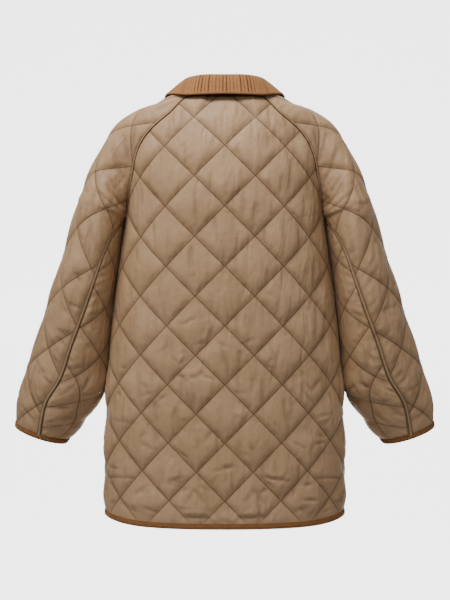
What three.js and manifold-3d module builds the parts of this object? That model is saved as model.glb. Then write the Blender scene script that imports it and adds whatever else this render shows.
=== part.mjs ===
// A quilted jacket with raglan sleeves, a turned-down corduroy collar and corduroy bindings.
// It keeps the hollow form that it has when it is worn, with its arms hanging a little away from the sides.
// Millimetres, +Z up. The origin is the neck seam at the centre back, and the front faces -Y.
// The wearer's left is +X. Each panel is worked out flat, cut to its outline and then laid on its form.
import * as THREE from "three";
import { mergeVertices } from "three/addons/utils/BufferGeometryUtils.js";
import Module from "manifold-3d";

const wasm = await Module();
wasm.setup();

// Driving dimensions of the cloth
const CELL = 53.9; // half the diagonal of a 3 inch quilting diamond
const HALF_CELL = CELL / 2;
const WALL = 2; // thickness of the quilt at a quilting line
const PUFF = 5; // rise of a diamond's middle over its quilting lines
const SHOULDER_OF_PUFF = 0.75; // share of that rise halfway to the corners
const EDGE_TAPER = 16; // the puffs fade out over this distance to a seam
const SEAM_GAP = 0.25; // what each panel stays back from a seam
const SEAM_STEP = 13; // longest straight stretch of a curved seam
const SEAM_SIDE_STEPS = 12; // straight stretches of a side seam

// Driving dimensions of the body
const MID_Y = -86; // line between the back half and the front half
const HEM_Z = -798; // length of the centre back
const HEM_RISE = 12; // how much higher the hem is at the side seams
const HEM_SIDE_POWER = 6; // how tightly that rise keeps to the sides
const LAP = 20; // how far each front passes the centre front
const LAP_LIFT = 3.2; // how far the upper front lies out, and the lower one in
const LAP_BLEND = 65; // width over which that offset fades out
const LAP_PUFF = 0.12; // share of the puffs left where the fronts are pressed together
const SIDE_PUFF = 0.2; // share of the puffs left where the sleeves touch the body

// Bindings, collar and fastening
const TAPE_WIDTH = 9;
const TAPE_THICK = 1.2;
const TAPE_GAP = 0.45; // how far a tape's fold stands off the cloth's edge
const EDGE_FIT = { gap: 0.45, flare: 0.8, fold: TAPE_GAP }; // how far it stands off outside, more at its lip
const CUFF_FIT = { gap: 1.1, flare: 2.3, fold: 1.1 }; // the same at the cuffs, where the sleeve draws in
const TAPE_INSIDE = 2.7; // how far its inner leaf stands off the inside of the wall
const EDGE_NEAR = 0.6; // corners closer than this count as one
const TAPE_TAPER = 36; // the puffs fade out over this distance to a tape
const STAND_THICK = 3;
const LEAF_THICK = 3;
const COLLAR_GAP = 0.5; // between the head of the stand and the underside of the leaf
const STAND_LIFT = 0.9; // how far the stand's foot lies over the neck seam
const STAND_HOLLOW = 0.8; // how far the stand bows in halfway up
const STAND_HEAD_OUT = 0.5; // how far the stand's head lies outside the fold line
const LEAF_ROLL = { out: 13, up: 3 }; // how the leaf leaves the fold
const LEAF_FALL = { up: 0.38, out: 6 }; // how it comes down to its edge
const COLLAR_COLUMNS = 21; // from the centre back to each collar point
const SNAP_HEIGHTS = [-128, -256, -384, -512, -640];
const SNAP_RADIUS = 7.5;
const SNAP_RISE = 2.4;
const SNAP_SIDES = 14;
const SNAP_GAP = 0.35; // between a snap's back and the cloth's highest point

// A table of rows with named columns
function table(columns, rows) {
  return rows.map((row) => Object.fromEntries(columns.map((name, i) => [name, row[i]])));
}

// Level rings of the body, as rounded boxes: half width, and how far back and front they reach
const BODY_RINGS = table(["z", "half", "back", "front", "square"], [
  [12, 64, -12, -94, 2.1],
  [4, 78, -5, -102, 2.1],
  [0, 90, 0, -106, 2.15],
  [-8, 110, 3, -112, 2.2],
  [-16, 126, 6, -120, 2.2],
  [-30, 147, 12, -132, 2.25],
  [-48, 165, 19, -146, 2.3],
  [-75, 178, 28, -163, 2.35],
  [-110, 185, 36, -185, 2.4],
  [-160, 186, 41, -206, 2.4],
  [-226, 185, 43, -221, 2.35],
  [-300, 195, 42, -226, 2.25],
  [-400, 208, 40, -225, 2.2],
  [-520, 219, 38, -223, 2.15],
  [-640, 224, 37, -220, 2.1],
  [-730, 226, 37, -218, 2.1],
  [-800, 225, 38, -217, 2.1],
  [-830, 225, 38, -217, 2.1],
]);

// Raglan seams on the body, from the neck to the armpit
const RAGLAN_BACK = table(["x", "z"], [
  [58, 0], [79, -18], [100, -41], [120.5, -58], [138.5, -75], [152.5, -94], [161, -113], [166.5, -133],
  [171, -157], [175.5, -182], [180, -207], [185, -228],
]);
const RAGLAN_FRONT = table(["x", "z"], [
  [60, -38], [84, -59], [108, -83], [130, -110], [148, -140], [162, -170], [174, -200], [185, -228],
]);
const NECK_FRONT = table(["x", "z"], [[-LAP - 4, -76.5], [0, -76], [20, -73], [41, -60], [60, -38]]);

// Upper line of the left sleeve, from the neck to the cuff; the armpit lies level with row 10
const SLEEVE_TOP = table(["row", "x", "y", "z"], [
  [0, 79, -82, 5],
  [1, 111, -83, -9],
  [2, 134, -84, -18.5],
  [3, 157, -84, -25],
  [4, 179, -84, -38],
  [5, 201, -84, -55],
  [6, 221, -84, -80],
  [7, 242, -84, -119],
  [8, 256, -84, -150],
  [9, 266, -84, -177],
  [10, 275.5, -84, -199],
  [11, 285, -85, -230],
  [12, 295, -86, -268],
  [13, 311, -87, -319],
  [14, 327, -90, -367],
  [15, 349.5, -97, -436],
  [16, 371.5, -105, -500],
  [17, 388, -112, -550],
  [18, 397, -118, -590],
  [19, 400, -123, -624],
]);
const ARMPIT_ROW = 10;

// Sections of the sleeve below the armpit: inner point, half depth, how far the seam has turned
// from the inner point to the back, and the lean of the section, in degrees
const SLEEVE_TUBE = table(["row", "x", "z", "depth", "turn", "lean"], [
  [10, 186, -228, 84.5, 0, 0],
  [11, 191.8, -258, 85.5, 36, 0],
  [12, 198.4, -300, 84.5, 56, 1],
  [13, 205.7, -353, 82, 66, 2],
  [14, 212, -404, 79, 74, 3],
  [15, 219.1, -476, 73, 86, 5],
  [16, 225.8, -548, 65, 94, 7],
  [17, 255.5, -594, 57, 99, 8],
  [18, 278, -627, 49, 95, 8],
  [19, 303, -656, 43, 87, 8],
]);

// The angle at which the sleeve head leaves the raglan seams, from the neck (0) to the armpit (1):
// 0 is straight out to the side, and 90 straight to the back or the front
const SLEEVE_HEAD = table(["part", "back", "front"], [
  [0, -38, -35],
  [0.25, -30, -25],
  [0.5, -12, -10],
  [0.7, 14, 14],
  [0.85, 54, 54],
  [0.93, 80, 80],
  [1, 90, 90],
]);

// Fold line and outer edge of the collar's left half, from the centre back (0) to the point (1)
const COLLAR_FOLD = table(["part", "x", "y", "z"], [
  [0, 0, -4, 29],
  [0.14, 32, -8, 29.5],
  [0.28, 55, -29, 30],
  [0.42, 67, -62, 30],
  [0.55, 70, -90, 23],
  [0.7, 62, -122, 0],
  [0.85, 37, -148, -33],
  [1, 9, -161, -52],
]);
const COLLAR_EDGE = table(["part", "x", "y", "z"], [
  [0, 0, 19, -12],
  [0.14, 40, 15, -12.5],
  [0.28, 73, 0, -11],
  [0.42, 99, -40, -1],
  [0.55, 113, -86, 1],
  [0.7, 113, -139, -26],
  [0.85, 90, -176, -70],
  [1, 57, -202, -112],
]);

const TAN = 0xa98f72;
const CORDUROY = 0xa8703f;
const BINDING = 0x8c5a32;
const BRASS = 0x8a7350;

// A smooth curve through the rows of a table, read at any value of its key column
function curveThrough(rows, key) {
  const sorted = [...rows].sort((p, q) => p[key] - q[key]);
  const names = Object.keys(rows[0]).filter((name) => name !== key);
  const last = sorted.length - 1;
  const slope = (i, name) => (sorted[i + 1][name] - sorted[i][name]) / (sorted[i + 1][key] - sorted[i][key]);
  const tangent = (i, name) => {
    if (i === 0) return slope(0, name);
    if (i === last) return slope(last - 1, name);
    const before = sorted[i][key] - sorted[i - 1][key];
    const after = sorted[i + 1][key] - sorted[i][key];
    return (slope(i - 1, name) * after + slope(i, name) * before) / (before + after);
  };
  const tangents = sorted.map((row, i) => Object.fromEntries(names.map((name) => [name, tangent(i, name)])));
  return (x) => {
    let i = 0;
    while (i < last - 1 && sorted[i + 1][key] < x) i += 1;
    const span = sorted[i + 1][key] - sorted[i][key];
    const t = (x - sorted[i][key]) / span;
    const t2 = t * t;
    const t3 = t2 * t;
    const out = {};
    for (const name of names) {
      out[name] = (2 * t3 - 3 * t2 + 1) * sorted[i][name] + (t3 - 2 * t2 + t) * span * tangents[i][name]
        + (3 * t2 - 2 * t3) * sorted[i + 1][name] + (t3 - t2) * span * tangents[i + 1][name];
    }
    return out;
  };
}

const lerp = THREE.MathUtils.lerp;
const radians = THREE.MathUtils.degToRad;
const smooth = (x) => THREE.MathUtils.smoothstep(x, 0, 1);

// Distance along a list of points, starting at 0
function distances(points) {
  const out = [0];
  for (let i = 1; i < points.length; i += 1) out.push(out[i - 1] + points[i].distanceTo(points[i - 1]));
  return out;
}

// Value in a rising list of numbers, as a fractional place
function placeIn(list, value) {
  let low = 0;
  let high = list.length - 1;
  while (high - low > 1) {
    const mid = (low + high) >> 1;
    if (list[mid] <= value) low = mid;
    else high = mid;
  }
  return low + (value - list[low]) / (list[high] - list[low]);
}

function readAt(list, place) {
  const i = Math.min(Math.max(Math.floor(place), 0), list.length - 2);
  const part = place - i;
  const a = list[i];
  const b = list[i + 1];
  return typeof a === "number" ? lerp(a, b, part) : a.clone().lerp(b, part);
}

// The same points spaced evenly along their line
function evenly(points, count) {
  const along = distances(points);
  const end = along[along.length - 1];
  return Array.from({ length: count }, (_, i) => readAt(points, placeIn(along, (end * i) / (count - 1))));
}

// Body
const ringAt = curveThrough(BODY_RINGS, "z");

function power(value, exponent) {
  return Math.sign(value) * Math.abs(value) ** exponent;
}

// Point of the body at a height and a turn, from the centre back (0) over the side to the centre front (pi)
function bodyPoint(z, turn) {
  const ring = ringAt(z);
  const side = Math.sin(turn);
  const along = Math.cos(turn);
  const depth = along > 0 ? ring.back - MID_Y : MID_Y - ring.front;
  const sharp = 2 / ring.square;
  return new THREE.Vector3(ring.half * power(side, sharp), MID_Y + depth * power(along, sharp), z);
}

function turnAt(x, z, front) {
  const ring = ringAt(z);
  const turn = Math.asin(Math.min(Math.abs(x) / ring.half, 1) ** (ring.square / 2));
  return front ? Math.PI - turn : turn;
}

const TOP_Z = 12;
const RING_STEPS = 180;
const HEIGHT_STEPS = 421; // one level every 2 mm
const LEVELS = Array.from({ length: HEIGHT_STEPS }, (_, i) => TOP_Z - 2 * i);
const TURNS = Array.from({ length: RING_STEPS + 1 }, (_, i) => (Math.PI * i) / RING_STEPS);
const RING_LENGTHS = LEVELS.map((z) => distances(TURNS.map((turn) => bodyPoint(z, turn))));
const BACK_LINE = distances(LEVELS.map((z) => bodyPoint(z, 0)));
const NAPE_PLACE = TOP_Z / 2;
const downBack = BACK_LINE.map((d) => d - BACK_LINE[NAPE_PLACE]);

const levelOf = (v) => TOP_Z - 2 * placeIn(downBack, v);
const downOf = (z) => readAt(downBack, (TOP_Z - z) / 2);

function ringLengths(z) {
  const place = (TOP_Z - z) / 2;
  const i = Math.min(Math.max(Math.floor(place), 0), HEIGHT_STEPS - 2);
  return RING_LENGTHS[i].map((d, k) => lerp(d, RING_LENGTHS[i + 1][k], place - i));
}

const roundOf = (turn, z) => readAt(ringLengths(z), (turn / Math.PI) * RING_STEPS);

// Point of the back, u mm round from the centre back and v mm down it
function backPoint(u, v) {
  const z = levelOf(v);
  const turn = (placeIn(ringLengths(z), Math.abs(u)) / RING_STEPS) * Math.PI;
  const point = bodyPoint(z, turn);
  point.x *= Math.sign(u) || 1;
  return point;
}

// Point of the left front, u mm round from the centre front, negative past it
function frontPoint(u, v) {
  const z = levelOf(v);
  const lengths = ringLengths(z);
  const turn = (placeIn(lengths, lengths[RING_STEPS] - Math.abs(u)) / RING_STEPS) * Math.PI;
  const point = bodyPoint(z, turn);
  point.x *= Math.sign(u) || 1;
  return point;
}

// Raglan seams in space, evenly spaced from the neck to the armpit
const SEAM_POINTS = 121;

function seamLine(rows, front) {
  const read = curveThrough(rows.map((row, i) => ({ ...row, i })), "i");
  const fine = Array.from({ length: 400 }, (_, i) => read((i / 399) * (rows.length - 1)));
  const points = fine.map(({ x, z }) => bodyPoint(z, turnAt(x, z, front)));
  return evenly(points, SEAM_POINTS);
}

const BACK_SEAM = seamLine(RAGLAN_BACK, false);
const FRONT_SEAM = seamLine(RAGLAN_FRONT, true);

// Sleeve
const topAt = curveThrough(SLEEVE_TOP, "row");
const tubeAt = curveThrough(SLEEVE_TUBE, "row");
const headAt = curveThrough(SLEEVE_HEAD, "part");
const TOP_STEPS = 1900;
const TOP_LINE = Array.from({ length: TOP_STEPS + 1 }, (_, i) => {
  const { x, y, z } = topAt((i / TOP_STEPS) * (SLEEVE_TOP.length - 1));
  return new THREE.Vector3(x, y, z);
});
const TOP_ALONG = distances(TOP_LINE);
const SLEEVE_LENGTH = TOP_ALONG[TOP_STEPS];
const ARMPIT_V = TOP_ALONG[(TOP_STEPS * ARMPIT_ROW) / (SLEEVE_TOP.length - 1)];
const HALF_STEPS = 60;

// How far the handles of a head section's curve reach: shares of its width and depth, and of a half ellipse
const HEAD_PULL = { low: 0.275, top: 0.55, ellipse: 4 / 3 };

// Half of a sleeve head section, from the top line down to the raglan seam
function headHalf(top, edge, toBack, angle, part) {
  const out = top.clone().sub(edge);
  const reach = Math.abs(out.y);
  out.y = 0;
  const wide = out.length();
  out.normalize();
  const away = new THREE.Vector3(0, toBack, 0);
  const full = HEAD_PULL.ellipse * SLEEVE_TUBE[0].depth;
  const late = smooth(part) ** 2;
  const lowPull = lerp(HEAD_PULL.low * (wide + reach), full - reach, late);
  const topPull = lerp(HEAD_PULL.top * reach, full, late);
  const leave = out.multiplyScalar(Math.cos(angle)).addScaledVector(away, Math.sin(angle));
  const curve = new THREE.CubicBezierCurve3(
    top, top.clone().addScaledVector(away, topPull), edge.clone().addScaledVector(leave, lowPull), edge);
  return curve.getPoints(HALF_STEPS * 2);
}

// Half of a section below the armpit, from the top line to the sleeve seam
function tubeHalf(top, tube, toBack) {
  const inner = new THREE.Vector3(tube.x, top.y, tube.z);
  const middle = top.clone().add(inner).multiplyScalar(0.5);
  const across = top.clone().sub(inner).multiplyScalar(0.5);
  const lean = radians(tube.lean);
  const deep = new THREE.Vector3(0, Math.cos(lean), -Math.sin(lean)).multiplyScalar(tube.depth);
  const end = Math.PI - toBack * radians(tube.turn);
  return Array.from({ length: HALF_STEPS * 2 + 1 }, (_, i) => {
    const angle = (end * i) / (HALF_STEPS * 2);
    const point = middle.clone().addScaledVector(across, Math.cos(angle));
    return point.addScaledVector(deep, toBack * Math.sin(angle));
  });
}

function sleeveHalf(v, toBack) {
  const place = placeIn(TOP_ALONG, v);
  const top = readAt(TOP_LINE, place);
  if (v > ARMPIT_V) return tubeHalf(top, tubeAt((place / TOP_STEPS) * (SLEEVE_TOP.length - 1)), toBack);
  const part = v / ARMPIT_V;
  const edge = readAt(toBack > 0 ? BACK_SEAM : FRONT_SEAM, part * (SEAM_POINTS - 1));
  const angles = headAt(part);
  return headHalf(top, edge, toBack, radians(toBack > 0 ? angles.back : angles.front), part);
}

const SLEEVE_ROWS = 240;
const SLEEVE_HALVES = [1, -1].map((toBack) => Array.from({ length: SLEEVE_ROWS + 1 }, (_, i) => {
  const points = sleeveHalf((SLEEVE_LENGTH * i) / SLEEVE_ROWS, toBack);
  const along = distances(points);
  return { length: along[along.length - 1], points: evenly(points, HALF_STEPS + 1) };
}));

function halfWidth(v, half) {
  return readAt(SLEEVE_HALVES[half].map((row) => row.length), (v / SLEEVE_LENGTH) * SLEEVE_ROWS);
}

const NORMAL_STEP = 4;

// Point of the left sleeve, u mm round from its top line (positive to the back) and v mm down that line;
// past the cuff it runs straight on
function sleevePoint(u, v) {
  if (v > SLEEVE_LENGTH) {
    const end = sleevePoint(u, SLEEVE_LENGTH);
    const before = sleevePoint(u, SLEEVE_LENGTH - NORMAL_STEP);
    return end.clone().addScaledVector(end.sub(before), (v - SLEEVE_LENGTH) / NORMAL_STEP);
  }
  const rows = SLEEVE_HALVES[u >= 0 ? 0 : 1];
  const place = Math.min(Math.max((v / SLEEVE_LENGTH) * SLEEVE_ROWS, 0), SLEEVE_ROWS - 1e-6);
  const i = Math.floor(place);
  const part = place - i;
  const width = lerp(rows[i].length, rows[i + 1].length, part);
  const round = Math.min((Math.abs(u) / width) * HALF_STEPS, HALF_STEPS);
  return readAt(rows[i].points, round).lerp(readAt(rows[i + 1].points, round), part);
}

// The forms that the panels are laid on; facing is 1 where u runs to the left of someone facing the cloth
const BACK_FORM = { at: backPoint, facing: 1 };
const FRONT_FORM = { at: frontPoint, facing: -1 };
const SLEEVE_FORM = { at: sleevePoint, facing: -1 };

// A point of a form, moved w mm out from it
function laidOn(form, u, v, w) {
  const across = form.at(u + NORMAL_STEP, v).sub(form.at(u - NORMAL_STEP, v));
  const down = form.at(u, v + NORMAL_STEP).sub(form.at(u, v - NORMAL_STEP));
  const out = across.cross(down).normalize();
  return form.at(u, v).addScaledVector(out, w * form.facing);
}

// Quilting grids: cells (a, b) to mm on a panel (u, v) and back; lines run where a + b or a - b is even
const BODY_PITCH = { wide: 56.6, narrowing: 0.0072, tall: 55.9, shortening: 0.14 };
const bodyGrid = {
  toPanel: (a, b) => {
    const v = BODY_PITCH.tall * b - BODY_PITCH.shortening * b * b;
    return [a * (BODY_PITCH.wide - BODY_PITCH.narrowing * v), v];
  },
  toCells: (u, v) => {
    const { tall, shortening } = BODY_PITCH;
    const b = (tall - Math.sqrt(tall * tall - 4 * shortening * v)) / (2 * shortening);
    return [u / (BODY_PITCH.wide - BODY_PITCH.narrowing * v), b];
  },
};

// On the sleeve the grid starts behind the top line and closes up towards the underside of the arm
const ARM_START = 18;
const ARM_BACK = 51;
const ARM_FRONT = 48;
const ARM_OUTER = { start: 63.8, pitch: 56.1, slant: 5 };
const ARM_INNER = { start: 118, pitch: 44.5 };
const innerShare = (a) => smooth((-a - 1.5) / 4);
const outerStart = (a) => ARM_OUTER.start + ARM_OUTER.slant * Math.max(a, -2);
const armOffset = (a) => lerp(outerStart(a), ARM_INNER.start, innerShare(a));
const armPitch = (a) => lerp(ARM_OUTER.pitch, ARM_INNER.pitch, innerShare(a));
const armGrid = {
  toPanel: (a, b) => [ARM_START + a * (a > 0 ? ARM_BACK : ARM_FRONT), armOffset(a) + armPitch(a) * b],
  toCells: (u, v) => {
    const a = (u - ARM_START) / (u > ARM_START ? ARM_BACK : ARM_FRONT);
    return [a, (v - armOffset(a)) / armPitch(a)];
  },
};

// Outlines, as points on the panel
function sampled(count, make) {
  return Array.from({ length: count + 1 }, (_, i) => make(i / count));
}

function onBody(point, front) {
  const turn = turnAt(point.x, point.z, front);
  const round = roundOf(turn, point.z);
  const fromFront = ringLengths(point.z)[RING_STEPS] - round;
  return [front ? Math.sign(point.x || 1) * fromFront : round, downOf(point.z)];
}

function hemLevel(turn) {
  return HEM_Z + HEM_RISE * Math.abs(Math.sin(turn)) ** HEM_SIDE_POWER;
}

function sideAt(z, front) {
  const side = roundOf(Math.PI / 2, z);
  return [front ? ringLengths(z)[RING_STEPS] - side : side, downOf(z)];
}

const ARMPIT_Z = BACK_SEAM[SEAM_POINTS - 1].z;
const SIDE_BOTTOM = HEM_Z + HEM_RISE;
const HEM_V = downOf(HEM_Z);
const FRONT_SIDE = sideAt(SIDE_BOTTOM, true)[0];
const BACK_SIDE = sideAt(SIDE_BOTTOM, false)[0];

function seamOutline(seam, front) {
  const steps = Math.round(distances(seam)[SEAM_POINTS - 1] / SEAM_STEP);
  return sampled(steps, (t) => onBody(readAt(seam, t * (SEAM_POINTS - 1)), front));
}

function sideOutline(front) {
  return sampled(SEAM_SIDE_STEPS, (t) => sideAt(lerp(ARMPIT_Z, SIDE_BOTTOM, t), front));
}

// Places along the hem: the grid lines, so that the panels and the tape round them share their corners
function hemColumns(from, to) {
  const [, b] = bodyGrid.toCells(0, HEM_V);
  const columns = [from];
  for (let i = -20; i <= 20; i += 1) {
    const [u] = bodyGrid.toPanel(i / 2, b);
    if (u > columns[columns.length - 1] + 4 && u < to - 4) columns.push(u);
  }
  return [...columns, to];
}

function hemPoint(form, u) {
  const z = HEM_Z + HEM_RISE;
  const point = form.at(u, downOf(z));
  return [u, downOf(hemLevel(turnAt(point.x, z, form === FRONT_FORM)))];
}

// The hem from the side seam to the centre
function hemOutline(form, from, to) {
  return hemColumns(from, to).reverse().map((u) => hemPoint(form, u));
}

const BACK_NECK = roundOf(turnAt(RAGLAN_BACK[0].x, 0, false), 0);

function backOutline() {
  const neck = sampled(4, (t) => [t * BACK_NECK, 0]);
  const half = [...neck, ...seamOutline(BACK_SEAM, false).slice(1), ...sideOutline(false).slice(1),
    ...hemOutline(BACK_FORM, 0, BACK_SIDE).slice(1)];
  const other = half.slice(1, -1).reverse().map(([u, v]) => [-u, v]);
  return [...half, ...other];
}

function frontOutline() {
  const read = curveThrough(NECK_FRONT.map((row, i) => ({ ...row, i })), "i");
  const neck = sampled(10, (t) => {
    const { x, z } = read(t * (NECK_FRONT.length - 1));
    return onBody({ x, z }, true);
  }).filter(([u]) => u > -LAP + 1);
  const seam = seamOutline(FRONT_SEAM, true);
  const bottom = hemOutline(FRONT_FORM, -LAP, FRONT_SIDE);
  return [...neck, ...seam.slice(1), ...sideOutline(true).slice(1), ...bottom.slice(1)];
}

// Lengthwise lines of the sleeve's grid between two places
function gridPlaces(from, to) {
  return sampled(40, (t) => armGrid.toPanel(lerp(-10, 10, t), 0)[0]).filter((u) => u > from && u < to);
}

function sleeveOutline() {
  const head = sampled(Math.round(ARMPIT_V / SEAM_STEP), (t) => t * ARMPIT_V);
  const armSteps = Math.round((SLEEVE_LENGTH - ARMPIT_V) / HALF_CELL);
  const arm = sampled(armSteps, (t) => lerp(ARMPIT_V, SLEEVE_LENGTH, t));
  const levels = [...head, ...arm.slice(1)];
  const backEdge = levels.map((v) => [halfWidth(v, 0), v]);
  const frontEdge = levels.map((v) => [-halfWidth(v, 1), v]);
  const across = (v) => gridPlaces(-halfWidth(v, 1) + 4, halfWidth(v, 0) - 4).map((u) => [u, v]);
  return [...backEdge, ...across(SLEEVE_LENGTH).reverse(), ...frontEdge.reverse(), ...across(0)];
}

// Moves every corner of an outline inwards by the same distance
function inset(outline, distance) {
  const area = outline.reduce((sum, [x, y], i) => {
    const [nx, ny] = outline[(i + 1) % outline.length];
    return sum + x * ny - nx * y;
  }, 0);
  const inward = Math.sign(area);
  return outline.map(([x, y], i) => {
    const [px, py] = outline[(i + outline.length - 1) % outline.length];
    const [nx, ny] = outline[(i + 1) % outline.length];
    const before = new THREE.Vector2(x - px, y - py).normalize();
    const after = new THREE.Vector2(nx - x, ny - y).normalize();
    const normal = new THREE.Vector2(-before.y - after.y, before.x + after.x).normalize();
    const cosine = Math.max(normal.x * -before.y + normal.y * before.x, 0.5);
    const shift = (inward * distance) / cosine;
    return [x + normal.x * shift, y + normal.y * shift];
  });
}

function distanceToOutline(outline, u, v) {
  let best = Infinity;
  for (let i = 0; i < outline.length; i += 1) {
    const [ax, ay] = outline[i];
    const [bx, by] = outline[(i + 1) % outline.length];
    const length = (bx - ax) ** 2 + (by - ay) ** 2 || 1;
    const t = THREE.MathUtils.clamp(((u - ax) * (bx - ax) + (v - ay) * (by - ay)) / length, 0, 1);
    best = Math.min(best, Math.hypot(u - ax - t * (bx - ax), v - ay - t * (by - ay)));
  }
  return best;
}

function solidOf(geometry) {
  const bare = geometry.clone();
  bare.deleteAttribute("normal");
  bare.deleteAttribute("uv");
  const merged = mergeVertices(bare, 1e-4);
  return new wasm.Manifold(new wasm.Mesh({
    numProp: 3,
    vertProperties: new Float32Array(merged.attributes.position.array),
    triVerts: new Uint32Array(merged.index.array),
  }));
}

// The flat quilt: a sheet on a grid of half cells whose diagonals follow the quilting lines.
// Its outer points carry the puffs. The bow keeps its faces apart in the cut and is taken off afterwards.
const BOW = 1e-4;
const bowAt = (x, y) => BOW * (x * x + y * y);

function puffAt(i, j) {
  if ((i + j) % 2 !== 0) return SHOULDER_OF_PUFF;
  if (i % 2 !== 0) return 0;
  return (i / 2 + j / 2) % 2 === 0 ? 0 : 1;
}

function flatQuilt(low, high) {
  const positions = [];
  const index = [];
  const wide = high.i - low.i + 1;
  const tall = high.j - low.j + 1;
  for (const layer of [0, 1]) {
    for (let j = low.j; j <= high.j; j += 1) {
      for (let i = low.i; i <= high.i; i += 1) {
        const x = i * HALF_CELL;
        const y = j * HALF_CELL;
        positions.push(x, y, bowAt(x, y) + (layer ? WALL + PUFF * puffAt(i, j) : 0));
      }
    }
  }
  const at = (layer, i, j) => layer * wide * tall + j * wide + i;
  const quad = (a, b, c, d) => index.push(a, b, c, a, c, d);
  for (let j = 0; j < tall - 1; j += 1) {
    for (let i = 0; i < wide - 1; i += 1) {
      const corners = [[i, j], [i + 1, j], [i + 1, j + 1], [i, j + 1]];
      const onLine = puffAt(low.i + i, low.j + j) % 1 === 0 && (low.i + i + low.j + j) % 2 === 0;
      const turned = onLine ? corners : [...corners.slice(1), corners[0]];
      quad(...turned.map(([p, q]) => at(1, p, q)));
      const under = [turned[0], turned[3], turned[2], turned[1]];
      quad(...under.map(([p, q]) => at(0, p, q)));
    }
  }
  for (let i = 0; i < wide - 1; i += 1) {
    quad(at(0, i, 0), at(0, i + 1, 0), at(1, i + 1, 0), at(1, i, 0));
    quad(at(0, i + 1, tall - 1), at(0, i, tall - 1), at(1, i, tall - 1), at(1, i + 1, tall - 1));
  }
  for (let j = 0; j < tall - 1; j += 1) {
    quad(at(0, 0, j + 1), at(0, 0, j), at(1, 0, j), at(1, 0, j + 1));
    quad(at(0, wide - 1, j), at(0, wide - 1, j + 1), at(1, wide - 1, j + 1), at(1, wide - 1, j));
  }
  const geometry = new THREE.BufferGeometry();
  geometry.setAttribute("position", new THREE.Float32BufferAttribute(positions, 3));
  geometry.setIndex(index);
  return geometry;
}

// Cuts the flat quilt to an outline, a little in from its seams
function cutQuilt(outline, grid) {
  const edge = inset(outline, SEAM_GAP);
  const cells = edge.map(([u, v]) => grid.toCells(u, v).map((cell) => cell * CELL));
  const xs = cells.map(([x]) => x / HALF_CELL);
  const ys = cells.map(([, y]) => y / HALF_CELL);
  const low = { i: Math.floor(Math.min(...xs)) - 1, j: Math.floor(Math.min(...ys)) - 1 };
  const high = { i: Math.ceil(Math.max(...xs)) + 1, j: Math.ceil(Math.max(...ys)) + 1 };
  const shape = new THREE.Shape(cells.map(([x, y]) => new THREE.Vector2(x, y)));
  const cutter = new THREE.ExtrudeGeometry(shape, { depth: 400, bevelEnabled: false });
  cutter.translate(0, 0, -50);
  const cut = solidOf(flatQuilt(low, high)).intersect(solidOf(cutter));
  const mesh = cut.getMesh();
  return { edge, grid, positions: mesh.vertProperties, index: mesh.triVerts };
}

const BACK_CUT = cutQuilt(backOutline(), bodyGrid);
const FRONT_CUT = cutQuilt(frontOutline(), bodyGrid);
const SLEEVE_CUT = cutQuilt(sleeveOutline(), armGrid);

// Lays a cut quilt on its form: puffs fade out at the edges and where share() presses them
function quiltedPanel(cut, form, { share, tapedFade, lift = () => 0, mirror = false }) {
  const { edge, grid, positions, index } = cut;
  const out = new Float32Array(positions.length);
  for (let k = 0; k < positions.length; k += 3) {
    const x = positions[k];
    const y = positions[k + 1];
    const height = positions[k + 2] - bowAt(x, y);
    const [u, v] = grid.toPanel(x / CELL, y / CELL);
    const puff = Math.max(height - WALL, 0);
    const fade = Math.min(distanceToOutline(edge, u, v) / EDGE_TAPER, tapedFade(u, v), 1);
    const w = height > WALL / 2 ? puff * fade * share(u, v) : -WALL;
    const point = laidOn(form, u, v, w + lift(u));
    out.set([mirror ? -point.x : point.x, point.y, point.z], k);
  }
  return closedGeometry(out, index);
}

// Places of a cut panel's corners along its edge at level(u)
function cornersAlong({ grid, positions }, level) {
  const places = [];
  for (let k = 0; k < positions.length; k += 3) {
    const [u, v] = grid.toPanel(positions[k] / CELL, positions[k + 1] / CELL);
    if (Math.abs(v + SEAM_GAP - level(u)) < EDGE_NEAR) places.push(u);
  }
  places.sort((p, q) => p - q);
  return places.filter((u, i) => i === 0 || u - places[i - 1] > EDGE_NEAR);
}

// A closed geometry whose faces point outwards
function closedGeometry(positions, index) {
  const geometry = new THREE.BufferGeometry();
  geometry.setAttribute("position", new THREE.BufferAttribute(new Float32Array(positions), 3));
  let volume = 0;
  const at = (n) => new THREE.Vector3().fromArray(positions, index[n] * 3);
  for (let n = 0; n < index.length; n += 3) volume += at(n).dot(at(n + 1).cross(at(n + 2)));
  const turned = Array.from(index);
  if (volume < 0) {
    for (let n = 0; n < turned.length; n += 3) {
      [turned[n + 1], turned[n + 2]] = [turned[n + 2], turned[n + 1]];
    }
  }
  geometry.setIndex(turned);
  geometry.computeVertexNormals();
  return geometry;
}

// A solid through columns of section points, closed into a ring or capped at both ends. A section runs out
// along one side of its wall and back along the other, and both sides fold along the same diagonals.
function bandThrough(columns, ring = false) {
  const size = columns[0].length;
  const positions = columns.flatMap((column) => column.flatMap((point) => point.toArray()));
  const index = [];
  const count = ring ? columns.length : columns.length - 1;
  for (let c = 0; c < count; c += 1) {
    const next = ((c + 1) % columns.length) * size;
    for (let s = 0; s < size; s += 1) {
      const t = (s + 1) % size;
      const [a, b, d, e] = [c * size + s, next + s, next + t, c * size + t];
      if (s < size / 2) index.push(a, b, d, a, d, e);
      else index.push(a, b, e, b, d, e);
    }
  }
  if (!ring) {
    const last = (columns.length - 1) * size;
    const half = size / 2;
    for (let s = 0; s < half - 1; s += 1) {
      const [a, b, c, d] = [s, s + 1, size - 2 - s, size - 1 - s];
      index.push(a, b, c, a, c, d);
      index.push(last + a, last + c, last + b, last + a, last + d, last + c);
    }
  }
  return closedGeometry(positions, index);
}

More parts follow.
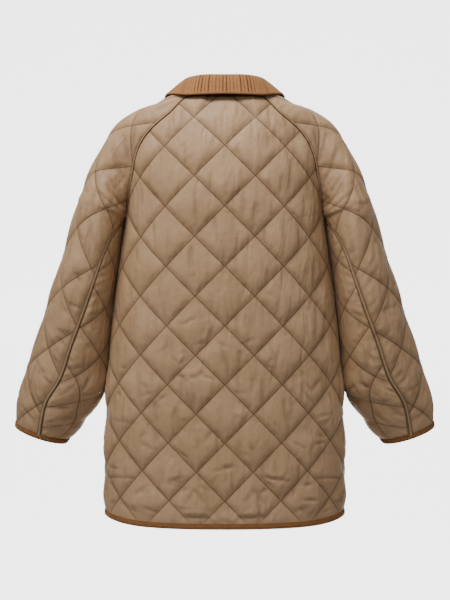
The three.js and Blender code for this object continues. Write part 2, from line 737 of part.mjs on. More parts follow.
// Section of a folded tape round an edge: [how far in from the edge, height over the outer face].
// The first half runs along its outside and the second back along its inside.
function tapeSection({ gap, flare, fold }) {
  const out = gap + TAPE_THICK;
  const inside = -WALL - TAPE_INSIDE;
  return [
    [TAPE_WIDTH, out + flare],
    [-out, out],
    [-out, inside - TAPE_THICK],
    [TAPE_WIDTH, inside - TAPE_THICK],
    [TAPE_WIDTH, inside],
    [-fold, inside],
    [-fold, gap],
    [TAPE_WIDTH, gap + flare],
  ];
}

const fadeTo = (distance) => Math.max((distance - TAPE_WIDTH - 1) / TAPE_TAPER, 0);
const bodyTape = (u, v) => fadeTo(HEM_V - v);
const frontTape = (u, v) => Math.min(fadeTo(HEM_V - v), fadeTo(u + LAP));
const cuffTape = (u, v) => fadeTo(SLEEVE_LENGTH - v);

// Fronts
const lapOffset = (u, lift) => lift * smooth((LAP_BLEND - u) / (LAP_BLEND - LAP));

function frontShare(u, v) {
  const lap = lerp(LAP_PUFF, 1, smooth((u - LAP - 12) / 45));
  return lap * sideShare(sideAt(levelOf(v), true)[0] - u, v);
}

// The puffs are pressed flat where the sleeves hang against the body
function sideShare(fromSide, v) {
  const near = 1 - smooth((Math.abs(fromSide) - 35) / 50);
  const level = 1 - smooth((v - 470) / 90);
  return lerp(1, SIDE_PUFF, near * level);
}

function backShare(u, v) {
  return sideShare(sideAt(levelOf(v), false)[0] - Math.abs(u), v);
}

// The same for the sleeve, about the inner point of its section
function sleeveShare(u, v) {
  const place = placeIn(TOP_ALONG, Math.min(Math.max(v, 0), SLEEVE_LENGTH - 1));
  const tube = tubeAt(Math.max((place / TOP_STEPS) * (SLEEVE_TOP.length - 1), ARMPIT_ROW));
  const point = sleevePoint(u, v);
  const near = 1 - smooth((point.x - tube.x - 12) / 30);
  const level = smooth((v - ARMPIT_V + 60) / 50) * (1 - smooth((v - 560) / 70));
  return lerp(1, SIDE_PUFF, near * level);
}

function tapeColumn(form, u, v, toward, w, mirror = false, fit = EDGE_FIT) {
  return tapeSection(fit).map(([into, height]) => {
    const point = laidOn(form, u + toward[0] * into, v + toward[1] * into, height + w);
    if (mirror) point.x = -point.x;
    return point;
  });
}

function hemBinding() {
  const hemLine = (form) => (u) => hemPoint(form, u)[1];
  const column = (form, u, lift, mirror) => {
    const raised = form === FRONT_FORM ? lapOffset(u, lift) : 0;
    return tapeColumn(form, u, hemLine(form)(u) - SEAM_GAP, [0, -1], raised, mirror);
  };
  const corners = cornersAlong(FRONT_CUT, hemLine(FRONT_FORM)).slice(1);
  const frontU = [-LAP - TAPE_GAP - TAPE_THICK, ...corners.filter((u) => u < FRONT_SIDE - 2)];
  const left = frontU.map((u) => column(FRONT_FORM, u, LAP_LIFT, false));
  const right = frontU.map((u) => column(FRONT_FORM, u, -LAP_LIFT, true));
  const back = cornersAlong(BACK_CUT, hemLine(BACK_FORM)).map((u) => column(BACK_FORM, u, 0, false));
  return bandThrough([...left, ...back.reverse(), ...right.reverse()]);
}

// Front edge binding, from just above the hem binding to the neck
function frontBinding(lift, mirror) {
  const top = frontOutline()[0][1] + 2;
  const bottom = HEM_V - TAPE_WIDTH - 1;
  const first = Math.ceil(bodyGrid.toCells(0, top)[1] * 2);
  const last = Math.floor(bodyGrid.toCells(0, bottom)[1] * 2);
  const rows = [top];
  for (let j = first; j <= last; j += 1) {
    const v = bodyGrid.toPanel(0, j / 2)[1];
    if (v - rows[rows.length - 1] > 6 && bottom - v > 6) rows.push(v);
  }
  rows.push(bottom);
  const edge = -LAP + SEAM_GAP;
  const across = lapOffset(edge, lift);
  return bandThrough(rows.map((v) => tapeColumn(FRONT_FORM, edge, v, [1, 0], across, mirror)));
}

function cuffBinding(mirror) {
  const end = SLEEVE_LENGTH - SEAM_GAP;
  const places = cornersAlong(SLEEVE_CUT, () => SLEEVE_LENGTH).slice(1);
  if (mirror) places.reverse();
  const columns = places.map((u) => tapeColumn(SLEEVE_FORM, u, end, [0, -1], 0, mirror, CUFF_FIT));
  return bandThrough(columns, true);
}

// Collar
const foldAt = curveThrough(COLLAR_FOLD, "part");
const edgeAt = curveThrough(COLLAR_EDGE, "part");
const vectorOf = ({ x, y, z }) => new THREE.Vector3(x, y, z);
const NECK_AXIS = new THREE.Vector3(0, -82, 0);

// The neck seam's left half, from the centre back over the sleeve head to the centre front
function neckSeam() {
  const backNeck = sampled(20, (t) => backPoint(t * BACK_NECK, 0));
  const sleeveBack = sampled(20, (t) => sleevePoint((1 - t) * halfWidth(0, 0), 0));
  const sleeveFront = sampled(20, (t) => sleevePoint(-t * halfWidth(0, 1), 0));
  const read = curveThrough(NECK_FRONT.map((row, i) => ({ ...row, i })), "i");
  const frontNeck = sampled(20, (t) => {
    const { x, z } = read(lerp(NECK_FRONT.length - 1, 1.2, t));
    return bodyPoint(z, turnAt(x, z, true));
  });
  return evenly([...backNeck, ...sleeveBack.slice(1), ...sleeveFront.slice(1), ...frontNeck.slice(1)], 101);
}

const NECK_SEAM = neckSeam();

// Columns of a collar piece on both sides of the centre back
function collarColumns(makeSection) {
  const left = sampled(COLLAR_COLUMNS, (t) => makeSection(t));
  const right = left.slice(1).map((column) => column.map((p) => new THREE.Vector3(-p.x, p.y, p.z)));
  return [...right.reverse(), ...left];
}

function outwardFrom(point) {
  return point.clone().sub(NECK_AXIS).setZ(0).normalize();
}

function standSection(part) {
  const seam = readAt(NECK_SEAM, part * 100);
  const fold = vectorOf(foldAt(part));
  const out = outwardFrom(seam);
  const foot = seam.clone().setZ(seam.z + STAND_LIFT);
  const head = fold.clone().setZ(fold.z - LEAF_THICK - COLLAR_GAP);
  head.addScaledVector(outwardFrom(fold), STAND_HEAD_OUT);
  const middle = foot.clone().lerp(head, 0.5).addScaledVector(out, -STAND_HOLLOW);
  const outer = [foot, middle, head];
  const inner = outer.map((point) => point.clone().addScaledVector(out, -STAND_THICK)).reverse();
  return [...outer, ...inner];
}

// The leaf rolls over the fold and falls outwards to its edge
const LEAF_STEPS = 5;

function leafSection(part) {
  const fold = vectorOf(foldAt(part));
  const edge = vectorOf(edgeAt(part));
  const out = outwardFrom(fold);
  const roll = fold.clone().addScaledVector(out, LEAF_ROLL.out).setZ(fold.z + LEAF_ROLL.up);
  const fall = edge.clone().lerp(fold, LEAF_FALL.up).addScaledVector(out, LEAF_FALL.out);
  const curve = new THREE.CubicBezierCurve3(fold, roll, fall, edge);
  const outer = curve.getPoints(LEAF_STEPS);
  const inner = outer.map((point, i) => {
    const along = curve.getTangent(i / LEAF_STEPS);
    const side = new THREE.Vector3(-out.y, out.x, 0);
    const normal = along.clone().cross(side).normalize();
    return point.clone().addScaledVector(normal, -LEAF_THICK * Math.sign(normal.dot(out) + normal.z));
  });
  return [...outer, ...inner.reverse()];
}

// Snap: a shallow domed cap, its flat back towards the cloth
function snapGeometry(z) {
  const profile = [[0, 0], [1, 0], [1, 0.33], [0.8, 0.8], [0, 1]];
  const points = profile.map(([r, h]) => new THREE.Vector2(r * SNAP_RADIUS, h * SNAP_RISE));
  const geometry = new THREE.LatheGeometry(points, SNAP_SIDES);
  geometry.rotateX(Math.PI / 2);
  const v = downOf(z);
  const height = LAP_LIFT + PUFF * LAP_PUFF + SNAP_GAP;
  const seat = laidOn(FRONT_FORM, 0.01, v, height);
  const out = laidOn(FRONT_FORM, 0.01, v, height + 1).sub(seat);
  geometry.applyQuaternion(new THREE.Quaternion().setFromUnitVectors(new THREE.Vector3(0, 0, 1), out));
  geometry.translate(seat.x, seat.y, seat.z);
  return geometry;
}

const group = new THREE.Group();

function addPiece(name, geometry, color, roughness, metalness = 0) {
  const mesh = new THREE.Mesh(geometry, new THREE.MeshStandardMaterial({ color, roughness, metalness }));
  mesh.name = name;
  group.add(mesh);
}

const quilt = (name, geometry) => addPiece(name, geometry, TAN, 0.55);

const FRONT_FADES = { share: frontShare, tapedFade: frontTape };
const SLEEVE_FADES = { share: sleeveShare, tapedFade: cuffTape };
quilt("back", quiltedPanel(BACK_CUT, BACK_FORM, { share: backShare, tapedFade: bodyTape }));
const UPPER_FRONT = { ...FRONT_FADES, lift: (u) => lapOffset(u, LAP_LIFT) };
const LOWER_FRONT = { ...FRONT_FADES, lift: (u) => lapOffset(u, -LAP_LIFT), mirror: true };
quilt("front_left", quiltedPanel(FRONT_CUT, FRONT_FORM, UPPER_FRONT));
quilt("front_right", quiltedPanel(FRONT_CUT, FRONT_FORM, LOWER_FRONT));
quilt("sleeve_left", quiltedPanel(SLEEVE_CUT, SLEEVE_FORM, SLEEVE_FADES));
quilt("sleeve_right", quiltedPanel(SLEEVE_CUT, SLEEVE_FORM, { ...SLEEVE_FADES, mirror: true }));
addPiece("collar_stand", bandThrough(collarColumns(standSection)), CORDUROY, 0.9);
addPiece("collar_leaf", bandThrough(collarColumns(leafSection)), CORDUROY, 0.9);
addPiece("binding_hem", hemBinding(), BINDING, 0.9);
addPiece("binding_front_left", frontBinding(LAP_LIFT, false), BINDING, 0.9);
addPiece("binding_front_right", frontBinding(-LAP_LIFT, true), BINDING, 0.9);
addPiece("binding_cuff_left", cuffBinding(false), BINDING, 0.9);
addPiece("binding_cuff_right", cuffBinding(true), BINDING, 0.9);
SNAP_HEIGHTS.forEach((z, i) => addPiece(`snap_${i + 1}`, snapGeometry(z), BRASS, 0.35, 0.9));

export default group;
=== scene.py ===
# The quilted jacket as the eye sees it, on the frame of its CAD part. Blender works in metres here.
# Every panel is worked out flat in millimetres (u round, v down) and laid on the same forms as the CAD,
# with its puffs, creases, seams and stitches.
from functools import partial

import bpy
import numpy as np
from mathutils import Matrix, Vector


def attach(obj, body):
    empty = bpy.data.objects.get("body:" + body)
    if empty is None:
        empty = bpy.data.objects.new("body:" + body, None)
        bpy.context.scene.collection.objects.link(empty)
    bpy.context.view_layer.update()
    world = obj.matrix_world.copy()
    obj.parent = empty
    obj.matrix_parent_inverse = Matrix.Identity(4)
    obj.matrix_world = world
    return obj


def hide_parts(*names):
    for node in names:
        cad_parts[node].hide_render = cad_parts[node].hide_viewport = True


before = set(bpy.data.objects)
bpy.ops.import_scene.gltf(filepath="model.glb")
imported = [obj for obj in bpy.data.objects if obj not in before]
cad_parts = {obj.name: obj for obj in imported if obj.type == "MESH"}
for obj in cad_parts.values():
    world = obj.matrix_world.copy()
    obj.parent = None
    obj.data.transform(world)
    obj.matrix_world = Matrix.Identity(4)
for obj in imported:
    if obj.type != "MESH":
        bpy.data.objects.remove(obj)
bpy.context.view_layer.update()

MM = 0.001

# Quilt
CELL = 53.9  # half the diagonal of a 3 inch diamond
SIDE = CELL * 2**0.5
WALL = 2.0
PUFF = 6.0  # rise of a full diamond over its quilting lines
ROLL_UP = 13.0  # how softly a puff rises from its upper lines
ROLL_LOW = 5.5  # how sharply it turns down to its lower ones
SAG = 0.3  # how much fuller the lower half of a diamond is
SEAM_GAP = 0.12  # how far a panel's edge stays from its seam line
ROW_STEP = 3.0  # distance between the mesh rows of a panel
FRONT_DOWN = 735.0  # length of the fronts that their rows are counted from
BACK_COLUMNS, FRONT_COLUMNS, SLEEVE_COLUMNS = 186, 92, 164
LOWEST = -0.6  # no crease goes deeper than this into the wall

# Body
MID_Y = -86.0
HEM_Z = -798.0
HEM_RISE = 12.0  # the hem's rise at the side seams
HEM_SIDE_POWER = 6
LAP = 20.0  # how far each front reaches past the centre
LAP_LIFT = 3.2  # how far the lapped fronts lie off their form, one out and one in
LAP_BLEND = 65.0
LAP_PUFF = 0.12  # share of the puffs that is left in the lap, where the fronts press together
SIDE_PUFF = 0.05  # share that is left where the sleeves rest against the body
SIDE_LIFT = 1.5  # how far the padding swells there instead
REST_HALF, REST_BLEND = 35.0, 50.0  # width of that place beside the side seam
REST_LOW, REST_LOW_BLEND = 470.0, 90.0  # how far down it goes

# Bindings, collar and fastening
TAPE_WIDTH = 9.0
TAPE_TAPER = 30.0  # the puffs die away over this distance towards a binding
TAPE_ROW = 7.9  # distance of the bindings' stitch row from the edge
TAPE_ROW_LIFT = 0.95
LEAF_THICK = 3.0
STAND_THICK = 3.0
STAND_LIFT = 0.9
WALE = 6.4  # distance between the corduroy's ribs on the collar
WALE_RISE = 0.5
SNAP_HEIGHTS = (-128, -256, -384, -512, -640)
SNAP_RADIUS = 7.5
SNAP_RISE = 2.4

# Painted shade of the quilting, in mm from a line
LINE_REACH = 1.5
UNDER_REACH = 12.0
UNDER_SHADE = 0.36  # painted shade under a sagging puff, as a share of a line's
SEAM_SHADE = 0.6  # painted shade in a seam
TROUGH_SHADE, TROUGH_MOST = 0.125, 0.17  # painted shade in a crease for each mm of its depth, and at most
COLLAR_SHADE = 13.0  # how far down the back the collar's shade lies

# Stitches
STITCH_PITCH = 3.3
STITCH_LENGTH = 2.5
THREAD = 0.32  # radius
BAND = 6.6  # width of the raised band along the sleeve seam
BAND_ROWS = (1.4, BAND - 1.2)  # its two stitch rows, by their distance from the seam
TOPSTITCH = 3.2  # distance of the raglan seam's topstitching from the seam

# Level rings of the body: z, half width, back y, front y, squareness
BODY_RINGS = np.array([
    [12, 64, -12, -94, 2.1], [4, 78, -5, -102, 2.1], [0, 90, 0, -106, 2.15], [-8, 110, 3, -112, 2.2],
    [-16, 126, 6, -120, 2.2], [-30, 147, 12, -132, 2.25], [-48, 165, 19, -146, 2.3],
    [-75, 178, 28, -163, 2.35], [-110, 185, 36, -185, 2.4], [-160, 186, 41, -206, 2.4],
    [-226, 185, 43, -221, 2.35], [-300, 195, 42, -226, 2.25], [-400, 208, 40, -225, 2.2],
    [-520, 219, 38, -223, 2.15], [-640, 224, 37, -220, 2.1], [-730, 226, 37, -218, 2.1],
    [-800, 225, 38, -217, 2.1], [-830, 225, 38, -217, 2.1],
], float)

# Raglan seams on the body, x and z from the neck to the armpit, and the front neckline
RAGLAN_BACK = np.array([
    [58, 0], [79, -18], [100, -41], [120.5, -58], [138.5, -75], [152.5, -94], [161, -113], [166.5, -133],
    [171, -157], [175.5, -182], [180, -207], [185, -228],
], float)
RAGLAN_FRONT = np.array([
    [60, -38], [84, -59], [108, -83], [130, -110], [148, -140], [162, -170], [174, -200], [185, -228],
], float)
NECK_FRONT = np.array([[-LAP - 4, -76.5], [0, -76], [20, -73], [41, -60], [60, -38]], float)

# Upper line of the left sleeve, from the neck to the cuff
SLEEVE_TOP = np.array([
    [79, -82, 5], [111, -83, -9], [134, -84, -18.5], [157, -84, -25], [179, -84, -38], [201, -84, -55],
    [221, -84, -80], [242, -84, -119], [256, -84, -150], [266, -84, -177], [275.5, -84, -199],
    [285, -85, -230], [295, -86, -268], [311, -87, -319], [327, -90, -367], [349.5, -97, -436],
    [371.5, -105, -500], [388, -112, -550], [397, -118, -590], [400, -123, -624],
], float)
ARMPIT_ROW = 10

# Sections below the armpit: row, inner x, inner z, half depth, turn of the seam, lean
SLEEVE_TUBE = np.array([
    [10, 186, -228, 84.5, 0, 0], [11, 191.8, -258, 85.5, 36, 0], [12, 198.4, -300, 84.5, 56, 1],
    [13, 205.7, -353, 82, 66, 2], [14, 212, -404, 79, 74, 3], [15, 219.1, -476, 73, 86, 5],
    [16, 225.8, -548, 65, 94, 7], [17, 255.5, -594, 57, 99, 8], [18, 278, -627, 49, 95, 8],
    [19, 303, -656, 43, 87, 8],
], float)

# Angles at which the sleeve head leaves the raglan seams: part of the way down, back, front
SLEEVE_HEAD = np.array([
    [0, -38, -35], [0.25, -30, -25], [0.5, -12, -10], [0.7, 14, 14], [0.85, 54, 54], [0.93, 80, 80],
    [1, 90, 90],
], float)

# Fold line and outer edge of the collar's left half: part of the way, x, y, z
COLLAR_FOLD = np.array([
    [0, 0, -4, 29], [0.14, 32, -8, 29.5], [0.28, 55, -29, 30], [0.42, 67, -62, 30], [0.55, 70, -90, 23],
    [0.7, 62, -122, 0], [0.85, 37, -148, -33], [1, 9, -161, -52],
], float)
COLLAR_EDGE = np.array([
    [0, 0, 19, -9], [0.14, 40, 16, -9.5], [0.28, 73, 2, -8.5], [0.42, 99, -40, -1], [0.55, 113, -86, 1],
    [0.7, 113, -139, -26], [0.85, 90, -176, -70], [1, 57, -202, -112],
], float)


# Curves
def spline(xs, ys, x):
    """A smooth curve through the rows (xs, ys), read at every x."""
    step = np.diff(xs)[:, None]
    slope = np.diff(ys, axis=0) / step
    tangent = np.empty_like(ys)
    tangent[0], tangent[-1] = slope[0], slope[-1]
    tangent[1:-1] = (slope[:-1] * step[1:] + slope[1:] * step[:-1]) / (step[:-1] + step[1:])
    x = np.asarray(x, float)
    i = np.clip(np.searchsorted(xs, x) - 1, 0, len(xs) - 2)
    h = step[i]
    t = (x - xs[i])[..., None] / h
    t2, t3 = t * t, t * t * t
    return ((2 * t3 - 3 * t2 + 1) * ys[i] + (t3 - 2 * t2 + t) * h * tangent[i]
            + (3 * t2 - 2 * t3) * ys[i + 1] + (t3 - t2) * h * tangent[i + 1])


def smooth(x):
    x = np.clip(x, 0, 1)
    return x * x * (3 - 2 * x)


def mix(a, b, part):
    return a + (b - a) * part


def arc(points):
    return np.concatenate([[0], np.cumsum(np.linalg.norm(np.diff(points, axis=0), axis=1))])


def read(points, along, places):
    """Points of a polyline at the given distances along it."""
    return np.stack([np.interp(places, along, points[:, k]) for k in range(points.shape[1])], -1)


def evenly(points, count):
    along = arc(points)
    return read(points, along, np.linspace(0, along[-1], count))


def signed_power(value, exponent):
    return np.sign(value) * np.abs(value) ** exponent


def unit(vectors):
    return vectors / np.maximum(np.linalg.norm(vectors, axis=-1, keepdims=True), 1e-9)


def bilinear(table, row, column):
    row = np.clip(row, 0, table.shape[0] - 1.0001)
    column = np.clip(column, 0, table.shape[1] - 1.0001)
    i, j = row.astype(int), column.astype(int)
    f, g = row - i, column - j
    return mix(mix(table[i, j], table[i, j + 1], g), mix(table[i + 1, j], table[i + 1, j + 1], g), f)


# Body form
def ring_at(z):
    """Half width, back, front and squareness of the body's level ring at a height."""
    rows = BODY_RINGS[::-1]
    return np.moveaxis(spline(rows[:, 0], rows[:, 1:], z), -1, 0)


def body_point(z, turn):
    """A point by its height and its turn, from the centre back (0) over the side to the centre front (pi)."""
    half, back, front, square = ring_at(z)
    along = np.cos(turn)
    depth = np.where(along > 0, back - MID_Y, MID_Y - front)
    x = half * signed_power(np.sin(turn), 2 / square)
    return np.stack([x, MID_Y + depth * signed_power(along, 2 / square), z + 0 * x], -1)


def turn_at(x, z, front):
    half, _, _, square = ring_at(z)
    turn = np.arcsin(np.clip(np.abs(x) / half, 0, 1) ** (square / 2))
    return np.pi - turn if front else turn


TOP_LEVEL, LOW_LEVEL, LEVEL_STEP = 12.0, -831.0, 2.0
TURN_STEPS = 720
LEVELS = np.arange(TOP_LEVEL, LOW_LEVEL, -LEVEL_STEP)
TURNS = np.linspace(0, np.pi, TURN_STEPS + 1)
RING_LENGTHS = np.array([arc(body_point(np.full_like(TURNS, z), TURNS)) for z in LEVELS])
ROUND = np.arange(0, 640, 1.0)
TURN_TABLE = np.array([np.interp(ROUND, row, TURNS) for row in RING_LENGTHS])
DOWN = arc(body_point(LEVELS, np.zeros_like(LEVELS)))
DOWN -= np.interp(0, -LEVELS, DOWN)


def level_of(v):
    return np.interp(v, DOWN, LEVELS)


def down_of(z):
    return np.interp(-np.asarray(z, float), -LEVELS, DOWN)


def round_of(turn, z):
    row = (TOP_LEVEL - np.asarray(z, float)) / LEVEL_STEP
    return bilinear(RING_LENGTHS, row, np.asarray(turn) / np.pi * TURN_STEPS)


def ring_total(z):
    return np.interp(-np.asarray(z, float), -LEVELS, RING_LENGTHS[:, -1])


def on_ring(distance, v, sign):
    """A point by its distance round from the centre back and its distance down the centre back."""
    z = level_of(v)
    turn = bilinear(TURN_TABLE, (TOP_LEVEL - z) / LEVEL_STEP, distance)
    point = body_point(z, turn)
    point[..., 0] *= sign
    return point


def back_point(u, v):
    return on_ring(np.abs(u), v, np.sign(u))


def front_point(u, v):
    return on_ring(ring_total(level_of(v)) - np.abs(u), v, np.sign(u))


SEAM_STEPS = 240


def seam_line(rows, front):
    fine = spline(np.arange(len(rows)), rows, np.linspace(0, len(rows) - 1, 400))
    return evenly(body_point(fine[:, 1], turn_at(fine[:, 0], fine[:, 1], front)), SEAM_STEPS + 1)


BACK_SEAM = seam_line(RAGLAN_BACK, False)
FRONT_SEAM = seam_line(RAGLAN_FRONT, True)

# Sleeve form
TOP_STEPS = 1900
LAST_ROW = len(SLEEVE_TOP) - 1
TOP_ROWS = np.linspace(0, LAST_ROW, TOP_STEPS + 1)
TOP_LINE = spline(np.arange(LAST_ROW + 1), SLEEVE_TOP, TOP_ROWS)
TOP_ALONG = arc(TOP_LINE)
SLEEVE_LENGTH = TOP_ALONG[-1]
ARMPIT_V = TOP_ALONG[TOP_STEPS * ARMPIT_ROW // LAST_ROW]
SECTION_POINTS = 121
HALF_CIRCLE, QUARTER_CIRCLE = 4 / 3, 0.55  # lengths of a curve's handles, as shares of the circle's radius


def head_half(top, edge, side, angle, part):
    """Half a section of the sleeve head, from the top line down to the raglan seam."""
    out = top - edge
    reach = abs(out[1])
    out[1] = 0
    wide = np.linalg.norm(out)
    away = np.array([0, side, 0])
    full = HALF_CIRCLE * SLEEVE_TUBE[0, 3]
    late = smooth(part) ** 2
    low_pull = mix(QUARTER_CIRCLE / 2 * (wide + reach), full - reach, late)
    top_pull = mix(QUARTER_CIRCLE * reach, full, late)
    leave = out / wide * np.cos(angle) + away * np.sin(angle)
    t = np.linspace(0, 1, SECTION_POINTS)[:, None]
    return ((1 - t) ** 3 * top + 3 * t * (1 - t) ** 2 * (top + away * top_pull)
            + 3 * t * t * (1 - t) * (edge + leave * low_pull) + t**3 * edge)


def tube_half(top, tube, side):
    """Half a section below the armpit, from the top line to the sleeve seam."""
    x, z, depth, turn, lean = tube
    inner = np.array([x, top[1], z])
    across = (top - inner) / 2
    lean = np.radians(lean)
    deep = depth * np.array([0, np.cos(lean), -np.sin(lean)])
    angle = np.linspace(0, np.pi - side * np.radians(turn), SECTION_POINTS)[:, None]
    return (top + inner) / 2 + np.cos(angle) * across + side * np.sin(angle) * deep


def sleeve_half(v, side):
    """Half a section at v mm down the top line, to the back (side 1) or to the front (side -1)."""
    top = read(TOP_LINE, TOP_ALONG, v)
    if v > ARMPIT_V:
        place = np.interp(v, TOP_ALONG, np.arange(TOP_STEPS + 1)) / TOP_STEPS * LAST_ROW
        return tube_half(top, spline(SLEEVE_TUBE[:, 0], SLEEVE_TUBE[:, 1:], place), side)
    part = v / ARMPIT_V
    seam = BACK_SEAM if side > 0 else FRONT_SEAM
    edge = read(seam, np.arange(SEAM_STEPS + 1), part * SEAM_STEPS)
    angles = np.radians(spline(SLEEVE_HEAD[:, 0], SLEEVE_HEAD[:, 1:], part))
    return head_half(top, edge, side, angles[0 if side > 0 else 1], part)


SLEEVE_ROWS = 480
HALF_STEPS = 80
SLEEVE_HALVES = []
for arm_side in (1, -1):
    sections = [sleeve_half(SLEEVE_LENGTH * k / SLEEVE_ROWS, arm_side) for k in range(SLEEVE_ROWS + 1)]
    widths = np.array([arc(points)[-1] for points in sections])
    SLEEVE_HALVES.append((widths, np.array([evenly(points, HALF_STEPS + 1) for points in sections])))


def half_width(v, half):
    return np.interp(v, np.linspace(0, SLEEVE_LENGTH, SLEEVE_ROWS + 1), SLEEVE_HALVES[half][0])


NORMAL_STEP = 4.0


def bilinear_points(table, row, column):
    return np.stack([bilinear(table[..., k], row, column) for k in range(3)], -1)


def sleeve_point(u, v):
    """A point of the left sleeve, u mm round from its top line (positive to the back), v mm down it."""
    u, v = np.broadcast_arrays(np.asarray(u, float), np.asarray(v, float))
    past = np.maximum(v - SLEEVE_LENGTH, 0)[..., None]
    if past.any():  # it runs straight on past the cuff
        last = np.minimum(v, SLEEVE_LENGTH)
        end, before = sleeve_point(u, last), sleeve_point(u, last - NORMAL_STEP)
        return end + (end - before) * past / NORMAL_STEP
    row = v / SLEEVE_LENGTH * SLEEVE_ROWS
    halves = [bilinear_points(points, row, np.abs(u) / half_width(v, half) * HALF_STEPS)
              for half, (_, points) in enumerate(SLEEVE_HALVES)]
    return np.where((u >= 0)[..., None], halves[0], halves[1])


class Form:
    """A surface that panels are laid on; facing turns its normal outwards."""

    def __init__(self, at, facing):
        self.at = at
        self.facing = facing

    def normal(self, u, v):
        across = self.at(u + NORMAL_STEP, v) - self.at(u - NORMAL_STEP, v)
        down = self.at(u, v + NORMAL_STEP) - self.at(u, v - NORMAL_STEP)
        return unit(np.cross(across, down)) * self.facing

    def lay(self, u, v, w):
        return self.at(u, v) + self.normal(u, v) * np.asarray(w)[..., None]


BACK_FORM = Form(back_point, 1)
FRONT_FORM = Form(front_point, -1)
SLEEVE_FORM = Form(sleeve_point, -1)


# Quilting grids: cells (a, b) to mm (u, v) and back; lines run where a + b or a - b is even
class BodyGrid:
    """Straight up and down; the diamonds get a little narrower and shorter towards the hem."""
    WIDE, NARROWING, TALL, SHORTENING = 56.6, 0.0072, 55.9, 0.14

    def to_panel(self, a, b):
        v = self.TALL * b - self.SHORTENING * b * b
        return a * (self.WIDE - self.NARROWING * v), v

    def to_cells(self, u, v):
        b = (self.TALL - np.sqrt(self.TALL**2 - 4 * self.SHORTENING * v)) / (2 * self.SHORTENING)
        return u / (self.WIDE - self.NARROWING * v), b


class ArmGrid:
    """Turned a little round the arm, with shorter diamonds on its inside."""
    START, BACK, FRONT = 18.0, 51.0, 48.0
    OUTER_START, OUTER_PITCH, SLANT = 63.8, 56.1, 5.0
    INNER_START, INNER_PITCH = 118.0, 44.5

    def inside(self, a):
        """0 on the outside of the arm and 1 on its inside, in front of the seam."""
        return smooth((-a - 1.5) / 4)

    def offset(self, a):
        return mix(self.OUTER_START + self.SLANT * np.maximum(a, -2), self.INNER_START, self.inside(a))

    def pitch(self, a):
        return mix(self.OUTER_PITCH, self.INNER_PITCH, self.inside(a))

    def to_panel(self, a, b):
        return self.START + a * np.where(a > 0, self.BACK, self.FRONT), self.offset(a) + self.pitch(a) * b

    def to_cells(self, u, v):
        a = (u - self.START) / np.where(u > self.START, self.BACK, self.FRONT)
        return a, (v - self.offset(a)) / self.pitch(a)


BODY_GRID = BodyGrid()
ARM_GRID = ArmGrid()


# Outlines
def on_body(points, front):
    """Points of the body as (u, v) of its front or back panel."""
    x, z = points[:, 0], points[:, -1]
    distance = round_of(turn_at(x, z, front), z)
    if front:
        distance = np.sign(np.where(x == 0, 1, x)) * (ring_total(z) - distance)
    return np.stack([distance, down_of(z)], -1)


def side_u(v, front):
    z = level_of(v)
    distance = round_of(np.full(np.shape(z), np.pi / 2), z)
    return ring_total(z) - distance if front else distance


def hem_v(form, u):
    z = HEM_Z + HEM_RISE
    point = form.at(u, np.full(np.shape(u), float(down_of(z))))
    turn = turn_at(point[..., 0], np.full(np.shape(u), z), form is FRONT_FORM)
    return down_of(HEM_Z + HEM_RISE * np.abs(np.sin(turn)) ** HEM_SIDE_POWER)


ARMPIT_Z = BACK_SEAM[-1, 2]
ARMPIT_DOWN = float(down_of(ARMPIT_Z))
HEM_V = float(down_of(HEM_Z))
BACK_RAGLAN = on_body(BACK_SEAM, False)
FRONT_RAGLAN = on_body(FRONT_SEAM, True)


def edge_u(v, front):
    """Where the outer edge of a body panel runs: the raglan seam and then the side seam."""
    seam = FRONT_RAGLAN if front else BACK_RAGLAN
    return np.where(v < ARMPIT_DOWN, np.interp(v, seam[:, 1], seam[:, 0]), side_u(v, front))


def outline(front):
    """The raglan seam and then the side seam, as one line."""
    levels = np.linspace(ARMPIT_DOWN, HEM_V, 60)
    side = np.stack([side_u(levels, front), levels], -1)
    return np.concatenate([FRONT_RAGLAN if front else BACK_RAGLAN, side[1:]])


BACK_OUTLINE, FRONT_OUTLINE = outline(False), outline(True)


def nearest(u, v, line):
    """Distance of each (u, v) to a polyline and where along it that is."""
    best = np.full(np.shape(u), 1e9)
    where = np.zeros(np.shape(u))
    along = arc(line)
    for k in range(len(line) - 1):
        (ax, ay), (bx, by) = line[k], line[k + 1]
        dx, dy = bx - ax, by - ay
        size = max(dx * dx + dy * dy, 1e-12)
        t = np.clip(((u - ax) * dx + (v - ay) * dy) / size, 0, 1)
        distance = np.hypot(u - ax - t * dx, v - ay - t * dy)
        closer = distance < best
        best = np.where(closer, distance, best)
        where = np.where(closer, along[k] + t * size**0.5, where)
    return best, where


# Puffs and creases
RNG = np.random.default_rng(11)
FILL = RNG.uniform(0.86, 1.12, (64, 64))
FOLDS = 5  # hanging folds in each diamond
FOLD_TABLE = RNG.uniform(0, 1, (64, 64, FOLDS, 6))
FOLD_ACROSS, FOLD_DOWN, FOLD_LEAN = 74, 50, 0.22
FOLD_DEPTH, FOLD_WIDTH, FOLD_REACH = 3.9, (1.9, 3.4), (12, 22)
DENTS = 8  # short dents in each diamond of the lower half
DENT_TABLE = RNG.uniform(0, 1, (64, 64, DENTS, 7))
DENT_SPREAD, DENT_TURN, DENT_CHANCE = 66, 2.4, 0.3
DENT_DEPTH, DENT_WIDTH, DENT_REACH = 4.4, (2, 2.4), (6, 9)
LOOSE_FROM, LOOSE_OVER = 260, 320  # down from here the cloth hangs looser and is dented more
GATHER = 0.22  # height of the small gathers beside the lines
WOBBLE = 0.12
WAVES = RNG.uniform(0, 1, (14, 3))


